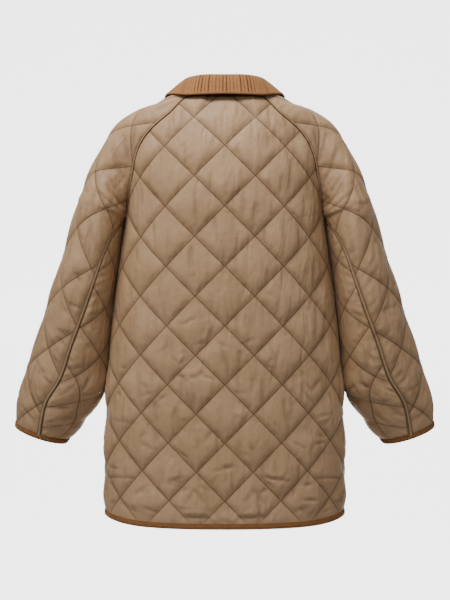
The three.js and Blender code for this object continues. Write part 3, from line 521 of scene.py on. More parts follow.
def quilt(a, b, v, seed=0):
    """Height of the puffs over the quilting lines, and how deep each place is sunk in a crease."""
    p, q = (a + b) / 2, (a - b) / 2
    i, j = np.floor(p), np.floor(q)
    fp, fq = p - i, q - j
    dp, dq = (SIDE * (0.5 - np.abs(f - 0.5)) for f in (fp, fq))
    upper = (1 - np.exp(-SIDE * fp / ROLL_UP)) * (1 - np.exp(-SIDE * (1 - fq) / ROLL_UP))
    lower = (1 - np.exp(-SIDE * (1 - fp) / ROLL_LOW)) * (1 - np.exp(-SIDE * fq / ROLL_LOW))
    crown = (np.sin(np.pi * fp) * np.sin(np.pi * fq)) ** 0.6
    x, y = (fp + fq - 1) * CELL, (fp - fq) * CELL
    row, column = (i + 32 + seed).astype(int) % 64, (j + 32 - seed).astype(int) % 64
    height = PUFF * FILL[row, column] * upper * lower * (0.45 + 0.55 * crown) * (1 + SAG * y / CELL)
    inside = smooth(np.minimum(dp, dq) / 9)
    low = smooth((v - LOOSE_FROM) / LOOSE_OVER)
    sunk = 0
    for k in range(FOLDS):
        place, middle, reach, depth, width, lean = (FOLD_TABLE[row, column, k, m] for m in range(6))
        off = x - (place - 0.5) * FOLD_ACROSS - (lean - 0.5) * FOLD_LEAN * y
        along = np.exp(-(((y - (middle - 0.4) * FOLD_DOWN) / (FOLD_REACH[0] + FOLD_REACH[1] * reach)) ** 4))
        size = (depth - 0.34) * FOLD_DEPTH
        fold = size * along * inside * np.exp(-((off / (FOLD_WIDTH[0] + FOLD_WIDTH[1] * width)) ** 2))
        height, sunk = height - fold, sunk + fold
    for k in range(DENTS):
        dx, dy, turn, depth, width, reach, chance = (DENT_TABLE[row, column, k, m] for m in range(7))
        cx, cy = (dx - 0.5) * DENT_SPREAD, (dy - 0.5) * DENT_SPREAD
        angle = (turn - 0.5) * DENT_TURN
        across = -(x - cx) * np.sin(angle) + (y - cy) * np.cos(angle)
        along = (x - cx) * np.cos(angle) + (y - cy) * np.sin(angle)
        shape = np.exp(-((across / (DENT_WIDTH[0] + DENT_WIDTH[1] * width)) ** 2)
                       - (along / (DENT_REACH[0] + DENT_REACH[1] * reach)) ** 2)
        size = (depth - 0.25) * DENT_DEPTH * low * (chance > DENT_CHANCE)
        height, sunk = height - size * inside * shape, sunk + size * inside * shape
    # small gathers that the stitching pulls into the cloth beside each line
    pull = sum(np.sin(2 * np.pi * (s * x + c * y) / (7 + 9 * w) + 40 * s)
               for s, c, w in (WAVES[:5] - np.array([0.5, 0.5, 0])) * np.array([2, 2, 1]))
    near = np.exp(-np.minimum(dp, dq) / 7) * smooth(np.minimum(dp, dq) / 2.5)
    return height + GATHER * pull * near, sunk


def wobble(u, v):
    """Slow unevenness of the whole cloth."""
    return sum(np.sin(2 * np.pi * ((s - 0.5) * u + (c - 0.5) * v) / (90 + 60 * w) + 9 * w)
               for s, c, w in WAVES[5:]) * WOBBLE


def creases(u, v, table):
    """Soft ridges and troughs, listed: start u, v, end u, v, half width, height."""
    total = np.zeros(np.shape(u))
    for u1, v1, u2, v2, width, height in table:
        du, dv = u2 - u1, v2 - v1
        size = du * du + dv * dv
        t = ((u - u1) * du + (v - v1) * dv) / size
        inside = np.clip(t, 0, 1)
        off = np.hypot(u - u1 - inside * du, v - v1 - inside * dv)
        taper = 0.35 + 0.65 * np.sin(np.pi * inside) ** 0.7
        total += height * taper * np.exp(-((off / width) ** 2))
    return total


# The creases of the back, and ones of their kind on the fronts and the sleeves
BACK_CREASES = [
    (75, 783, 30, 784, 3.2, -3), (-24, 784, -72, 783, 3.2, -3), (72, 775, 34, 776, 4, 1.6),
    (-28, 776, -70, 775, 4, 1.6), (30, 778, 15, 791, 2.8, 2), (15, 791, 2, 778, 2.8, 2),
    (2, 778, -14, 791, 2.8, 2), (-14, 791, -27, 778, 2.8, 2),
    (99, 718, 75, 712, 2.8, -2.4), (-72, 712, -118, 720, 2.8, -2.4), (104, 724, 80, 729, 3, -1.8),
    (72, 762, 54, 735, 3.4, -2), (54, 735, 36, 758, 3.4, -2), (-36, 758, -54, 735, 3.4, -2),
    (-54, 735, -72, 762, 3.4, -2), (248, 722, 202, 718, 2.6, -2.6), (202, 718, 170, 718, 2.6, -2),
    (-246, 722, -201, 718, 2.6, -2.6), (-201, 718, -170, 718, 2.6, -2), (218, 614, 168, 618, 3.6, -1.4),
    (-212, 600, -172, 606, 3.6, -1.4), (120, 778, 150, 770, 3.4, -1.8), (-128, 776, -156, 768, 3.4, -1.8),
    (190, 774, 206, 758, 3.2, -1.6), (-186, 776, -204, 760, 3.2, -1.6), (24, 700, -8, 696, 3.4, -1.6),
    (130, 664, 158, 650, 3.8, -1.5), (-126, 650, -152, 664, 3.8, -1.5), (0, 302, 2, 346, 4.5, -1.3),
    (51, 212, 48, 256, 4, -1.2), (-54, 220, -50, 262, 4, -1.2), (-108, 330, -103, 372, 4, -1.3),
    (112, 396, 107, 436, 4, -1.4), (8, 470, -4, 508, 4, -1.4), (-60, 520, -52, 552, 4, -1.5),
    (64, 566, 56, 596, 4, -1.6), (176, 300, 160, 330, 4, -1.3), (-172, 380, -160, 412, 4, -1.3),
]
FRONT_CREASES = [
    (60, 776, 104, 774, 3.2, -2.4), (128, 780, 156, 768, 3.2, -2), (240, 716, 188, 712, 2.8, -2.2),
    (96, 706, 132, 700, 3, -1.8), (150, 640, 182, 652, 3.6, -1.6), (70, 610, 96, 626, 3.6, -1.5),
    (116, 520, 110, 556, 4, -1.4), (168, 470, 158, 506, 4, -1.3), (84, 420, 80, 456, 4, -1.2),
    (140, 330, 132, 368, 4, -1.3), (90, 250, 94, 290, 4, -1.2), (60, 700, 84, 690, 3.2, -1.7),
]
SLEEVE_CREASES = [
    (80, 126, 112, 172, 3.4, -2.6), (68, 147, 93, 168, 3.8, -2.6), (93, 168, 117, 184, 3.8, -2.6),
    (60, 160, 88, 186, 4.2, 1.5), (72, 184, 99, 207, 4, -2.4), (99, 207, 128, 226, 3.6, -2.4),
    (102, 246, 122, 262, 3.8, -2.8), (122, 262, 165, 274, 3.8, -2.8), (96, 232, 141, 258, 3.6, -2.2),
    (110, 216, 150, 252, 3.4, 1.8), (88, 268, 150, 288, 3.6, -2), (128, 196, 158, 236, 3.2, -2.2),
    (156, 316, 134, 364, 4, -1.8), (96, 330, 104, 366, 4.5, -1.5), (60, 372, 66, 410, 4.5, -1.5),
    (88, 420, 108, 446, 4, -1.8), (70, 470, 82, 506, 4, -1.8), (40, 440, 48, 476, 4.5, -1.4),
    (88, 534, 114, 556, 3.6, -2.2), (60, 540, 88, 566, 3.6, 1.4), (84, 584, 110, 604, 3.4, -2.4),
    (63, 621, 102, 640, 3.4, -2.6), (50, 606, 78, 622, 3.6, -1.8), (54, 669, 88, 700, 3.2, -2.4),
    (70, 656, 96, 672, 3.2, 1.8), (36, 696, 72, 722, 3.2, -2.2), (20, 650, 44, 676, 3.6, -1.8),
    (-150, 320, -128, 352, 4, -2), (-140, 400, -116, 430, 4, -2), (-120, 500, -96, 520, 3.8, -2),
    (-110, 600, -88, 622, 3.6, -2.2), (-60, 560, -36, 580, 4, -1.6), (-90, 660, -60, 684, 3.4, -2),
    (-80, 180, -104, 214, 3.8, -2.2), (-64, 210, -98, 240, 3.8, -2.2), (-90, 250, -130, 270, 3.6, -2.2),
]


# Meshes
def new_object(name, vertices, faces, material, layers=(), shades=()):
    """A piece with its cloth coordinates (pairs a corner) and its shades (a number a corner)."""
    mesh = bpy.data.meshes.new(name)
    mesh.from_pydata((np.asarray(vertices) * MM).tolist(), [], faces)
    mesh.polygons.foreach_set("use_smooth", np.ones(len(mesh.polygons), bool))
    corners = np.empty(len(mesh.loops), np.int32)
    mesh.loops.foreach_get("vertex_index", corners)
    for label, pairs in dict(layers).items():
        mesh.uv_layers.new(name=label).data.foreach_set("uv", pairs[corners].ravel())
    for label, values in dict(shades).items():
        mesh.attributes.new(label, "FLOAT", "POINT").data.foreach_set("value", np.asarray(values, np.float32))
    mesh.materials.append(material)
    piece = bpy.data.objects.new(name, mesh)
    bpy.context.scene.collection.objects.link(piece)
    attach(piece, "root")
    return piece


def shell_faces(rows, columns):
    """Faces of an outer wall of rows x columns corners, an inner one of every second corner, and the rim."""
    r, c = np.meshgrid(np.arange(rows - 1), np.arange(columns - 1), indexing="ij")
    corner, below = r * columns + c, (r + 1) * columns + c
    faces = np.stack([corner, corner + 1, below + 1, below], -1).reshape(-1, 4).tolist()
    base = rows * columns
    half_rows, half_columns = rows // 2 + 1, columns // 2 + 1
    r, c = np.meshgrid(np.arange(half_rows - 1), np.arange(half_columns - 1), indexing="ij")
    inner = np.stack([r, c], -1).reshape(-1, 2)

    def at(i, j):
        return base + i * half_columns + j
    faces += [[at(i, j), at(i + 1, j), at(i + 1, j + 1), at(i, j + 1)] for i, j in inner]
    for j in range(half_columns - 1):
        for i, k in ((0, 0), (half_rows - 1, rows - 1)):
            fine = [k * columns + 2 * j + m for m in range(3)]
            strip = fine + [at(i, j + 1), at(i, j)]
            faces.append(strip[::-1] if i == 0 else strip)
    for i in range(half_rows - 1):
        for j, k in ((0, 0), (half_columns - 1, columns - 1)):
            fine = [(2 * i + m) * columns + k for m in range(3)]
            strip = fine + [at(i + 1, j), at(i, j)]
            faces.append(strip if j == 0 else strip[::-1])
    return faces


def panel(name, form, cells, u, v, height, lift, mirror, shades):
    """A closed shell whose outer wall has the given height over its form and whose inner wall is plain."""
    outer = form.lay(u, v, height + lift)
    inner = form.lay(u[::2, ::2], v[::2, ::2], -WALL + lift[::2, ::2])
    vertices = np.concatenate([outer.reshape(-1, 3), inner.reshape(-1, 3)])
    faces = shell_faces(*u.shape)
    if mirror:
        vertices[:, 0] *= -1
    if mirror != (form.facing > 0):
        faces = [face[::-1] for face in faces]
    a, b = cells.to_cells(u, v)
    lines = np.stack([(a + b) / 2, (a - b) / 2], -1).reshape(-1, 2)
    plain = np.zeros(len(inner.reshape(-1, 3)))
    lines = np.concatenate([lines, np.full((len(plain), 2), 0.5)])
    shades = {label: np.concatenate([values.ravel(), plain]) for label, values in shades.items()}
    return new_object(name, vertices, faces, NYLON, {"lines": lines}, shades)


def odd(count):
    return int(count) + 1 - int(count) % 2


def side_share(from_side, v):
    """Share of the puffs that is left beside the side seam, where the sleeves rest."""
    near = 1 - smooth((np.abs(from_side) - REST_HALF) / REST_BLEND)
    return mix(1, SIDE_PUFF, near * (1 - smooth((v - REST_LOW) / REST_LOW_BLEND)))


def lap_offset(u, lift):
    return lift * smooth((LAP_BLEND - u) / (LAP_BLEND - LAP))


def seam_dip(distance, along, depth=1.1, roll=2.6):
    """How a panel turns down into its seam, with the small gathers of the sewing."""
    gathers = 0.3 * np.sin(2 * np.pi * along / 11 + 1.7 * np.sin(along / 37)) * np.exp(-distance / 8)
    return gathers * smooth(distance / 2) - depth * np.exp(-((distance / roll) ** 2))


def pleats(distance, along):
    """Short slanting pleats that a tight seam draws into the cloth beside it."""
    wave = np.sin(2 * np.pi * (along + 0.7 * distance) / 19 + 2 * np.sin(along / 41))
    uneven = 0.35 + 0.65 * np.sin(along / 53) ** 2
    return 1.1 * uneven * wave * np.exp(-distance / 16) * smooth(distance / 5)


def edge_fade(distance, reach=14):
    """How a puff comes up from a seam."""
    return 1 - np.exp(-distance / reach * 2.2)


def tape_fade(distance):
    """How a puff comes up from a bound edge."""
    return np.clip((distance - TAPE_WIDTH - 1) / TAPE_TAPER, 0, 1)


def neck_fade(v):
    """How a puff comes up from the neck seam."""
    return np.minimum(1, 0.35 + v / 40)


def shades_of(quilted, *seams):
    """How much each place is quilted, and how much painted shade it gets from lying deep in a seam, by its
    distance from each seam line.
    """
    groove = sum(np.exp(-(d**2)) for d in seams)
    return {"quilted": np.clip(quilted, 0, 1), "groove": np.clip(SEAM_SHADE * groove, 0, 1)}


def in_troughs(shades, folds):
    """Darkens the troughs of the creases, which the light hardly reaches."""
    trough = np.clip(-folds * TROUGH_SHADE, 0, TROUGH_MOST)
    return shades | {"groove": np.clip(shades["groove"] + trough, 0, 1)}


def back_height(u, v):
    a, b = BODY_GRID.to_cells(u, v)
    puff, sunk = quilt(a, b, v)
    d, along = nearest(np.abs(u), v, BACK_OUTLINE)
    from_hem = hem_v(BACK_FORM, u) - v
    hem = tape_fade(from_hem) ** 0.6
    fade = np.minimum(edge_fade(d), hem) * neck_fade(v)
    share = side_share(side_u(v, False) - np.abs(u), v)
    height = puff * fade * share + SIDE_LIFT * (1 - share)
    folds = creases(u, v, BACK_CREASES) * np.clip((from_hem - TAPE_WIDTH) / 4, 0, 1)
    height += folds * edge_fade(d) + wobble(u, v) * fade
    shades = in_troughs(shades_of(hem ** 0.5, d), folds - sunk * fade * share)
    # painted shadow of the collar's leaf on the back, just under its edge
    shades["groove"] += 1 - smooth((v - COLLAR_SHADE) / 5)
    return np.maximum(height, LOWEST) + seam_dip(d, along), shades


def front_height(u, v, seed):
    a, b = BODY_GRID.to_cells(u, v)
    puff, sunk = quilt(a, b, v, seed)
    d, along = nearest(u, v, FRONT_OUTLINE)
    hem = tape_fade(hem_v(FRONT_FORM, u) - v) ** 0.6
    edge = tape_fade(u + LAP)
    top = np.interp(u, FRONT_TOP[:, 0], FRONT_TOP[:, 1])
    fade = np.minimum(np.minimum(edge_fade(d), hem), edge) * np.clip(0.2 + (v - top) / 30, 0, 1)
    lap = mix(LAP_PUFF, 1, smooth((u - LAP - 12) / 45))
    share = side_share(side_u(v, True) - u, v)
    height = puff * fade * lap * share + SIDE_LIFT * (1 - share)
    folds = creases(u, v, FRONT_CREASES) * fade * lap
    height += folds + wobble(u + 300, v) * fade * lap
    shades = in_troughs(shades_of((hem * edge) ** 0.5, d), folds - sunk * fade * lap * share)
    return np.maximum(height, LOWEST) + seam_dip(d, along), shades


def sleeve_share(u, v):
    """Share of the puffs that is left on the inside of the arm, where it rests against the body."""
    place = np.interp(np.clip(v, 0, SLEEVE_LENGTH - 1), TOP_ALONG, TOP_ROWS)
    inner = spline(SLEEVE_TUBE[:, 0], SLEEVE_TUBE[:, 1:], np.maximum(place, ARMPIT_ROW))[..., 0]
    near = 1 - smooth((sleeve_point(u, v)[..., 0] - inner - 12) / 30)
    level = smooth((v - ARMPIT_V + 60) / 50) * (1 - smooth((v - 560) / 70))
    return mix(1, SIDE_PUFF, near * level)


def sleeve_edges():
    levels = np.linspace(0, SLEEVE_LENGTH, 120)
    back = np.stack([half_width(levels, 0), levels], -1)
    front = np.stack([-half_width(levels, 1), levels], -1)
    return back, front


SLEEVE_BACK_EDGE, SLEEVE_FRONT_EDGE = sleeve_edges()


def sleeve_height(u, v, seed):
    a, b = ARM_GRID.to_cells(u, v)
    puff, sunk = quilt(a, b, v + 120, seed)
    db, along_b = nearest(u, v, SLEEVE_BACK_EDGE)
    df, along_f = nearest(u, v, SLEEVE_FRONT_EDGE)
    on_head = 1 - smooth((v - ARMPIT_V + 4) / 8)
    cuff = tape_fade(SLEEVE_LENGTH - v) ** 0.6
    flat = mix(BAND, TOPSTITCH, on_head)
    fade_b = edge_fade(np.maximum(db - flat, 0), 13)
    fade_f = edge_fade(np.maximum(df - TOPSTITCH * on_head, 0), 13)
    fade = np.minimum(np.minimum(fade_b, fade_f), cuff) * neck_fade(v)
    share = sleeve_share(u, v)
    outer = 1 - 0.5 * np.exp(-((u / 55) ** 2))  # the puffs lie flatter along the outside of the arm
    height = puff * fade * share * outer + SIDE_LIFT * (1 - share)
    folds = creases(u, v, SLEEVE_CREASES) * np.minimum(np.minimum(fade_b, fade_f), cuff ** 0.4)
    height += folds + wobble(u - 400, v) * fade
    height = np.maximum(height, LOWEST)
    # the flat band along the seam, between its stitch rows, and the gathers beside it
    band = 1 - smooth((db - flat + 0.2) / 1.2)
    stitched = sum(0.35 * np.exp(-(((db - row) / 0.6) ** 2)) for row in BAND_ROWS)
    pad = 1.7 * smooth(db / 0.8 + 0.3) - stitched * (1 - on_head)
    gather = pleats(db - flat, along_b) * (1 - 0.5 * on_head)
    ditch = -0.9 * np.exp(-(((db - flat - 1.0) / 1.2) ** 2))
    height = mix(height + gather * (db > flat) + ditch, pad, band)
    ridge = (0.8 * smooth(df / 0.8 + 0.3)) * on_head
    height = mix(height, ridge, (1 - smooth((df - TOPSTITCH) / 1.2)) * on_head)
    height += (seam_dip(df, along_f, 0.4) + pleats(df, along_f + 60)) * (1 - on_head)
    sewn = [db - row + 40 * on_head for row in BAND_ROWS]  # the head has no such rows, so they are moved away
    # painted shade in the sleeve's seams and along the band's stitch rows
    shades = shades_of(cuff ** 0.5 * (1 - band), db, db - flat - 0.6, df - TOPSTITCH * on_head - 0.4, *sewn)
    return height, in_troughs(shades, (folds - sunk * fade * share) * (1 - band))


# Materials
def linear(code):
    """An sRGB colour such as b39a7c, as the shader wants it."""
    parts = [int(code[k:k + 2], 16) / 255 for k in (0, 2, 4)]
    return [c / 12.92 if c <= 0.04045 else ((c + 0.055) / 1.055) ** 2.4 for c in parts] + [1]


def add_node(tree, kind, settings=(), links=()):
    """A node with its settings (an attribute's name, or an input's number or name) and its links."""
    node = tree.nodes.new(kind)
    for key, value in dict(settings).items():
        if isinstance(key, str) and hasattr(node, key):
            setattr(node, key, value)
        else:
            node.inputs[key].default_value = value
    for key, socket in dict(links).items():
        tree.links.new(socket, node.inputs[key])
    return node


def new_material(name, settings):
    """A material with its node tree and its shader."""
    material = bpy.data.materials.new(name)
    material.use_nodes = True
    shader = material.node_tree.nodes["Principled BSDF"]
    for key, value in settings.items():
        shader.inputs[key].default_value = value
    return material, material.node_tree, shader


def ramp(tree, factor, stops):
    """Colours that follow a value."""
    node = add_node(tree, "ShaderNodeValToRGB", links={"Fac": factor})
    elements = node.color_ramp.elements
    for k, (place, colour) in enumerate(stops):
        element = elements[k] if k < 2 else elements.new(place)
        element.position = place
        element.color = colour
    return node.outputs["Color"]


def quilting_shade(tree):
    """How near a place is to a quilting line, and how far under a puff that sags over its lower line: the two
    factors of the painted shade along the lines and under the puffs.
    """
    lines = add_node(tree, "ShaderNodeUVMap", {"uv_map": "lines"}).outputs["UV"]
    split = add_node(tree, "ShaderNodeSeparateXYZ", links={0: lines}).outputs

    def reckon(operation, links, settings=()):
        return add_node(tree, "ShaderNodeMath", {"operation": operation} | dict(settings), links).outputs[0]
    near = [reckon("PINGPONG", {0: split[k]}, {1: 0.5}) for k in (0, 1)]
    part = [reckon("FRACT", {0: split[k]}) for k in (0, 1)]
    rest = reckon("SUBTRACT", {1: part[0]}, {0: 1.0})
    out = []
    for pair, reach in ((near, LINE_REACH), ((rest, part[1]), UNDER_REACH)):
        fall = add_node(tree, "ShaderNodeMapRange", {
            "interpolation_type": "SMOOTHSTEP", 2: reach / SIDE, 3: 1.0, 4: 0.0,
        }, {0: reckon("MINIMUM", dict(enumerate(pair)))})
        out.append(fall.outputs[0])
    return out


def nylon_satin():
    """Quilted nylon with a satin face: it glows softly on each puff, and painted shade darkens it along the
    stitched lines, under each sagging puff, in the seams, in the crease troughs and under the collar's edge.
    """
    material, tree, shader = new_material("nylon_satin", {
        "Roughness": 0.55, "Sheen Weight": 0.08, "Sheen Roughness": 0.45, "Specular IOR Level": 0.24,
    })
    shader.inputs["Sheen Tint"].default_value = linear("e2cfb2")
    place = add_node(tree, "ShaderNodeTexCoord").outputs["Object"]
    cloud = add_node(tree, "ShaderNodeTexNoise", {"Scale": 14.0, "Detail": 3.0}, {"Vector": place})
    tone = ramp(tree, cloud.outputs["Fac"], [(0.3, linear("987959")), (0.7, linear("a68665"))])
    line, under = quilting_shade(tree)
    quilted = add_node(tree, "ShaderNodeAttribute", {"attribute_name": "quilted"}).outputs["Fac"]
    groove = add_node(tree, "ShaderNodeAttribute", {"attribute_name": "groove"}).outputs["Fac"]
    # painted shade along the quilting lines and under each sagging puff
    shaded = add_node(tree, "ShaderNodeMath", {"operation": "MULTIPLY_ADD", 1: UNDER_SHADE},
                      {0: under, 2: line}).outputs[0]
    depth = add_node(tree, "ShaderNodeMath", {"operation": "MULTIPLY", "use_clamp": True},
                     {0: shaded, 1: quilted}).outputs[0]
    deep = add_node(tree, "ShaderNodeMix", {"data_type": "RGBA", 7: linear("64492f")}, {0: depth, 6: tone})
    # painted shade in the seams, in the crease troughs and just under the collar's edge
    seams = add_node(tree, "ShaderNodeMix", {"data_type": "RGBA", 7: linear("2e1d10")},
                     {0: groove, 6: deep.outputs[2]})
    tree.links.new(seams.outputs[2], shader.inputs["Base Color"])
    crinkle = add_node(tree, "ShaderNodeTexNoise", {"Scale": 75.0, "Detail": 4.0, "Distortion": 0.6},
                       {"Vector": place})
    weave = add_node(tree, "ShaderNodeTexNoise", {"Scale": 1400.0, "Detail": 1.0}, {"Vector": place})
    tall = add_node(tree, "ShaderNodeMapping", {"Scale": (1, 1, 0.32)}, {"Vector": place})
    hang = add_node(tree, "ShaderNodeTexNoise", {"Scale": 38.0, "Detail": 2.5, "Distortion": 0.5},
                    {"Vector": tall.outputs["Vector"]})
    drape = add_node(tree, "ShaderNodeBump", {"Strength": 0.7, "Distance": 0.009},
                     {"Height": hang.outputs["Fac"]})
    soft = add_node(tree, "ShaderNodeBump", {"Strength": 0.4, "Distance": 0.0025},
                    {"Height": crinkle.outputs["Fac"], "Normal": drape.outputs["Normal"]})
    fine = add_node(tree, "ShaderNodeBump", {"Strength": 0.12, "Distance": 0.0002},
                    {"Height": weave.outputs["Fac"], "Normal": soft.outputs["Normal"]})
    tree.links.new(fine.outputs["Normal"], shader.inputs["Normal"])
    return material


def corduroy(name, dark, light):
    """Cotton corduroy: a matt pile whose tone follows the groove attribute: painted shade between the collar's
    ribs, which leaves each rib light, and the ticks of the bindings.
    """
    material, tree, shader = new_material(name, {
        "Roughness": 0.95, "Sheen Weight": 0.3, "Sheen Roughness": 0.45, "Specular IOR Level": 0.15,
    })
    shader.inputs["Sheen Tint"].default_value = linear("d9a878")
    place = add_node(tree, "ShaderNodeTexCoord").outputs["Object"]
    groove = add_node(tree, "ShaderNodeAttribute", {"attribute_name": "groove"})
    pile = add_node(tree, "ShaderNodeTexNoise", {"Scale": 220.0, "Detail": 3.0}, {"Vector": place})
    blend = add_node(tree, "ShaderNodeMath", {"operation": "MULTIPLY_ADD", 1: 0.5},
                     {0: pile.outputs["Fac"], 2: groove.outputs["Fac"]})
    tone = ramp(tree, blend.outputs["Value"], [(0.2, linear(light)), (1.2, linear(dark))])
    tree.links.new(tone, shader.inputs["Base Color"])
    fibre = add_node(tree, "ShaderNodeTexNoise", {"Scale": 1100.0, "Detail": 2.0}, {"Vector": place})
    bump = add_node(tree, "ShaderNodeBump", {"Strength": 0.5, "Distance": 0.0006},
                    {"Height": fibre.outputs["Fac"]})
    tree.links.new(bump.outputs["Normal"], shader.inputs["Normal"])
    return material


def sewing_thread():
    """Polyester thread, a little darker than the cloth, with the shine of a twisted yarn."""
    material, _, shader = new_material("polyester_thread", {"Roughness": 0.5, "Sheen Weight": 0.2})
    shader.inputs["Base Color"].default_value = linear("5e4630")
    return material


def antique_brass():
    """Brass with an aged finish, for the snap caps."""
    material, tree, shader = new_material("antique_brass", {"Metallic": 1.0, "Roughness": 0.34})
    place = add_node(tree, "ShaderNodeTexCoord").outputs["Object"]
    age = add_node(tree, "ShaderNodeTexNoise", {"Scale": 260.0, "Detail": 4.0}, {"Vector": place})
    tone = ramp(tree, age.outputs["Fac"], [(0.35, linear("6a5433")), (0.65, linear("9a7e4e"))])
    tree.links.new(tone, shader.inputs["Base Color"])
    return material


NYLON = nylon_satin()
COLLAR_CORD = corduroy("corduroy_collar", "50301a", "9b6c45")
TAPE_CORD = corduroy("corduroy_binding", "43280f", "a26e43")
THREAD_MATERIAL = sewing_thread()
BRASS = antique_brass()


# Panels
def grid(rows, columns):
    return np.meshgrid(np.linspace(0, 1, odd(rows)), np.linspace(0, 1, odd(columns)), indexing="ij")


def spread(low, high, s):
    """Columns from low to high that lie close together near both edges, where the seams are."""
    near = np.array([0, 0.7, 1.4, 2.1, 3, 4.2, 5.4, 6.2, 7, 8.2])
    count = len(near)
    last = s[:, count - 1:count]
    share = (s[:, count:-count] - last) / (1 - 2 * last)
    inner = mix(low[:, :1] + near[-1] + 2, high[:, :1] - near[-1] - 2, share)
    return np.concatenate([low[:, :1] + near, inner, high[:, :1] - near[::-1]], axis=1)


def flat_area(u, v):
    ax, ay = u[1:, 1:] - u[:-1, :-1], v[1:, 1:] - v[:-1, :-1]
    bx, by = u[1:, :-1] - u[:-1, 1:], v[1:, :-1] - v[:-1, 1:]
    return np.abs(ax * by - ay * bx).sum() / 2


def stand_for(node):
    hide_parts(node)


def finish_panel(u, v, node):
    """Hides the CAD part that a panel stands for; the size it was cut to, its own area in a rectangle that
    holds it, is worked out but not kept.
    """
    np.ptp(u) * MM
    np.ptp(v) * MM
    flat_area(u, v) * MM * MM
    stand_for(node)


def make_back():
    t, s = grid(HEM_V / ROW_STEP, BACK_COLUMNS)
    v = t * HEM_V
    half = edge_u(v, False) - SEAM_GAP
    u = spread(-half, half, s)
    v = v - (HEM_V - hem_v(BACK_FORM, u) + SEAM_GAP) * smooth((t - 0.85) / 0.15)
    height, shades = back_height(u, v)
    piece = panel("quilt_back", BACK_FORM, BODY_GRID, u, v, height, 0 * u, False, shades)
    finish_panel(u, v, "back")


def front_neck():
    fine = spline(np.arange(5), NECK_FRONT, np.linspace(0, 4, 60))
    line = on_body(np.insert(fine, 1, 0, axis=1), True)
    return line[np.argsort(line[:, 0])]


FRONT_TOP = front_neck()


def front_grid():
    t, s = grid(FRONT_DOWN / ROW_STEP, FRONT_COLUMNS)
    left = -LAP + SEAM_GAP
    top_right = FRONT_TOP[-1, 0]
    top = np.interp(mix(left, top_right, s), FRONT_TOP[:, 0], FRONT_TOP[:, 1])
    right_v = mix(FRONT_TOP[-1, 1], HEM_V, t)
    u = mix(left, edge_u(right_v, True) - SEAM_GAP, s)
    return u, mix(top, hem_v(FRONT_FORM, u) - SEAM_GAP, t)


def make_front(name, lift, mirror, seed):
    u, v = front_grid()
    height, shades = front_height(u, v, seed)
    piece = panel("quilt_" + name, FRONT_FORM, BODY_GRID, u, v, height, lap_offset(u, lift), mirror, shades)
    finish_panel(u, v, name)


def make_sleeve(name, mirror, seed):
    t, s = grid(SLEEVE_LENGTH / ROW_STEP, SLEEVE_COLUMNS)
    v = t * (SLEEVE_LENGTH - SEAM_GAP)
    u = spread(SEAM_GAP - half_width(v, 1), half_width(v, 0) - SEAM_GAP, s)
    height, shades = sleeve_height(u, v, seed)
    piece = panel("quilt_" + name, SLEEVE_FORM, ARM_GRID, u, v, height, 0 * u, mirror, shades)
    finish_panel(u, v, name)


# Name, lift in the lap, whether it is mirrored, and the seed of its creases
FRONTS = [("front_left", LAP_LIFT, False, 5), ("front_right", -LAP_LIFT, True, 9)]
SLEEVES = [("sleeve_left", False, 3), ("sleeve_right", True, 7)]

make_back()
for front in FRONTS:
    make_front(*front)
for sleeve in SLEEVES:
    make_sleeve(*sleeve)


# Bindings: the folded section, in from the edge and out from the form, first outside and then inside
TAPE_OUT = [(9, 0.75), (8.2, 0.55), (7.2, 1.1), (5, 1.7), (2.5, 1.85), (0.6, 1.8), (-0.8, 1.3), (-1.6, 0.2),
            (-1.8, -1), (-1.6, -2.2), (-0.8, -3.3), (0.6, -3.7), (3, -3.9), (6, -3.9), (9, -3.7)]
TAPE_IN = [(9, -3.1), (6, -3.1), (3, -3), (1, -2.8), (-0.3, -2.3), (-0.7, -1), (-0.3, 0.3), (1, 0.7), (3, 0.8),
           (5, 0.7), (7.2, 0.35), (9, 0.3)]
TAPE_PROFILE = np.array(TAPE_OUT + TAPE_IN)
TAPE_TOP = 4  # the point of the section that its length is measured along
TAPE_STEP = 1.3
TAPE_RIB = 5.0  # coarser than the real 1.5 mm, so that it shows
TAPE_RIB_RISE = 0.14
CUFF_LIFT = 0.3


def ring_faces(count, size, closed=False):
    """Faces of a skin over count rings of size corners, with a cap at each end unless it is closed."""
    faces = []
    for c in range(count if closed else count - 1):
        n = (c + 1) % count
        faces += [[c * size + k, n * size + k, n * size + (k + 1) % size, c * size + (k + 1) % size]
                  for k in range(size)]
    if not closed:
        faces += [list(range(size)), [(count - 1) * size + k for k in range(size - 1, -1, -1)]]
    return faces


def turn_out(piece):
    """Turns a closed mesh's faces outwards."""
    mesh = piece.data
    mesh.calc_loop_triangles()
    triangles = np.empty(len(mesh.loop_triangles) * 3, np.int32)
    mesh.loop_triangles.foreach_get("vertices", triangles)
    points = np.empty(len(mesh.vertices) * 3)
    mesh.vertices.foreach_get("co", points)
    corners = points.reshape(-1, 3)[triangles.reshape(-1, 3)]
    volume = np.einsum("ij,ij->i", corners[:, 0], np.cross(corners[:, 1], corners[:, 2])).sum()
    if volume < 0:
        mesh.flip_normals()


def cord_piece(name, rings, groove, material, closed=False):
    """A piece of corduroy through its rings of corners, with how dark each corner is: painted shade in the
    collar's grooves, ticks on a tape.
    """
    piece = new_object(name, rings.reshape(-1, 3), ring_faces(*rings.shape[:2], closed), material,
                       shades={"groove": groove.ravel()})
    turn_out(piece)
    return piece


def tape_sections(form, u, v, toward, lift, mirror):
    """Sections of the tape at places (u, v) of a panel's edge; toward points into the panel."""
    into, height = TAPE_PROFILE.T
    uu = u[:, None] + toward[0] * into[None, :]
    vv = v[:, None] + toward[1] * into[None, :]
    points = form.lay(uu, vv, height[None, :] + np.asarray(lift)[..., None])
    if mirror:
        points[..., 0] *= -1
    return points


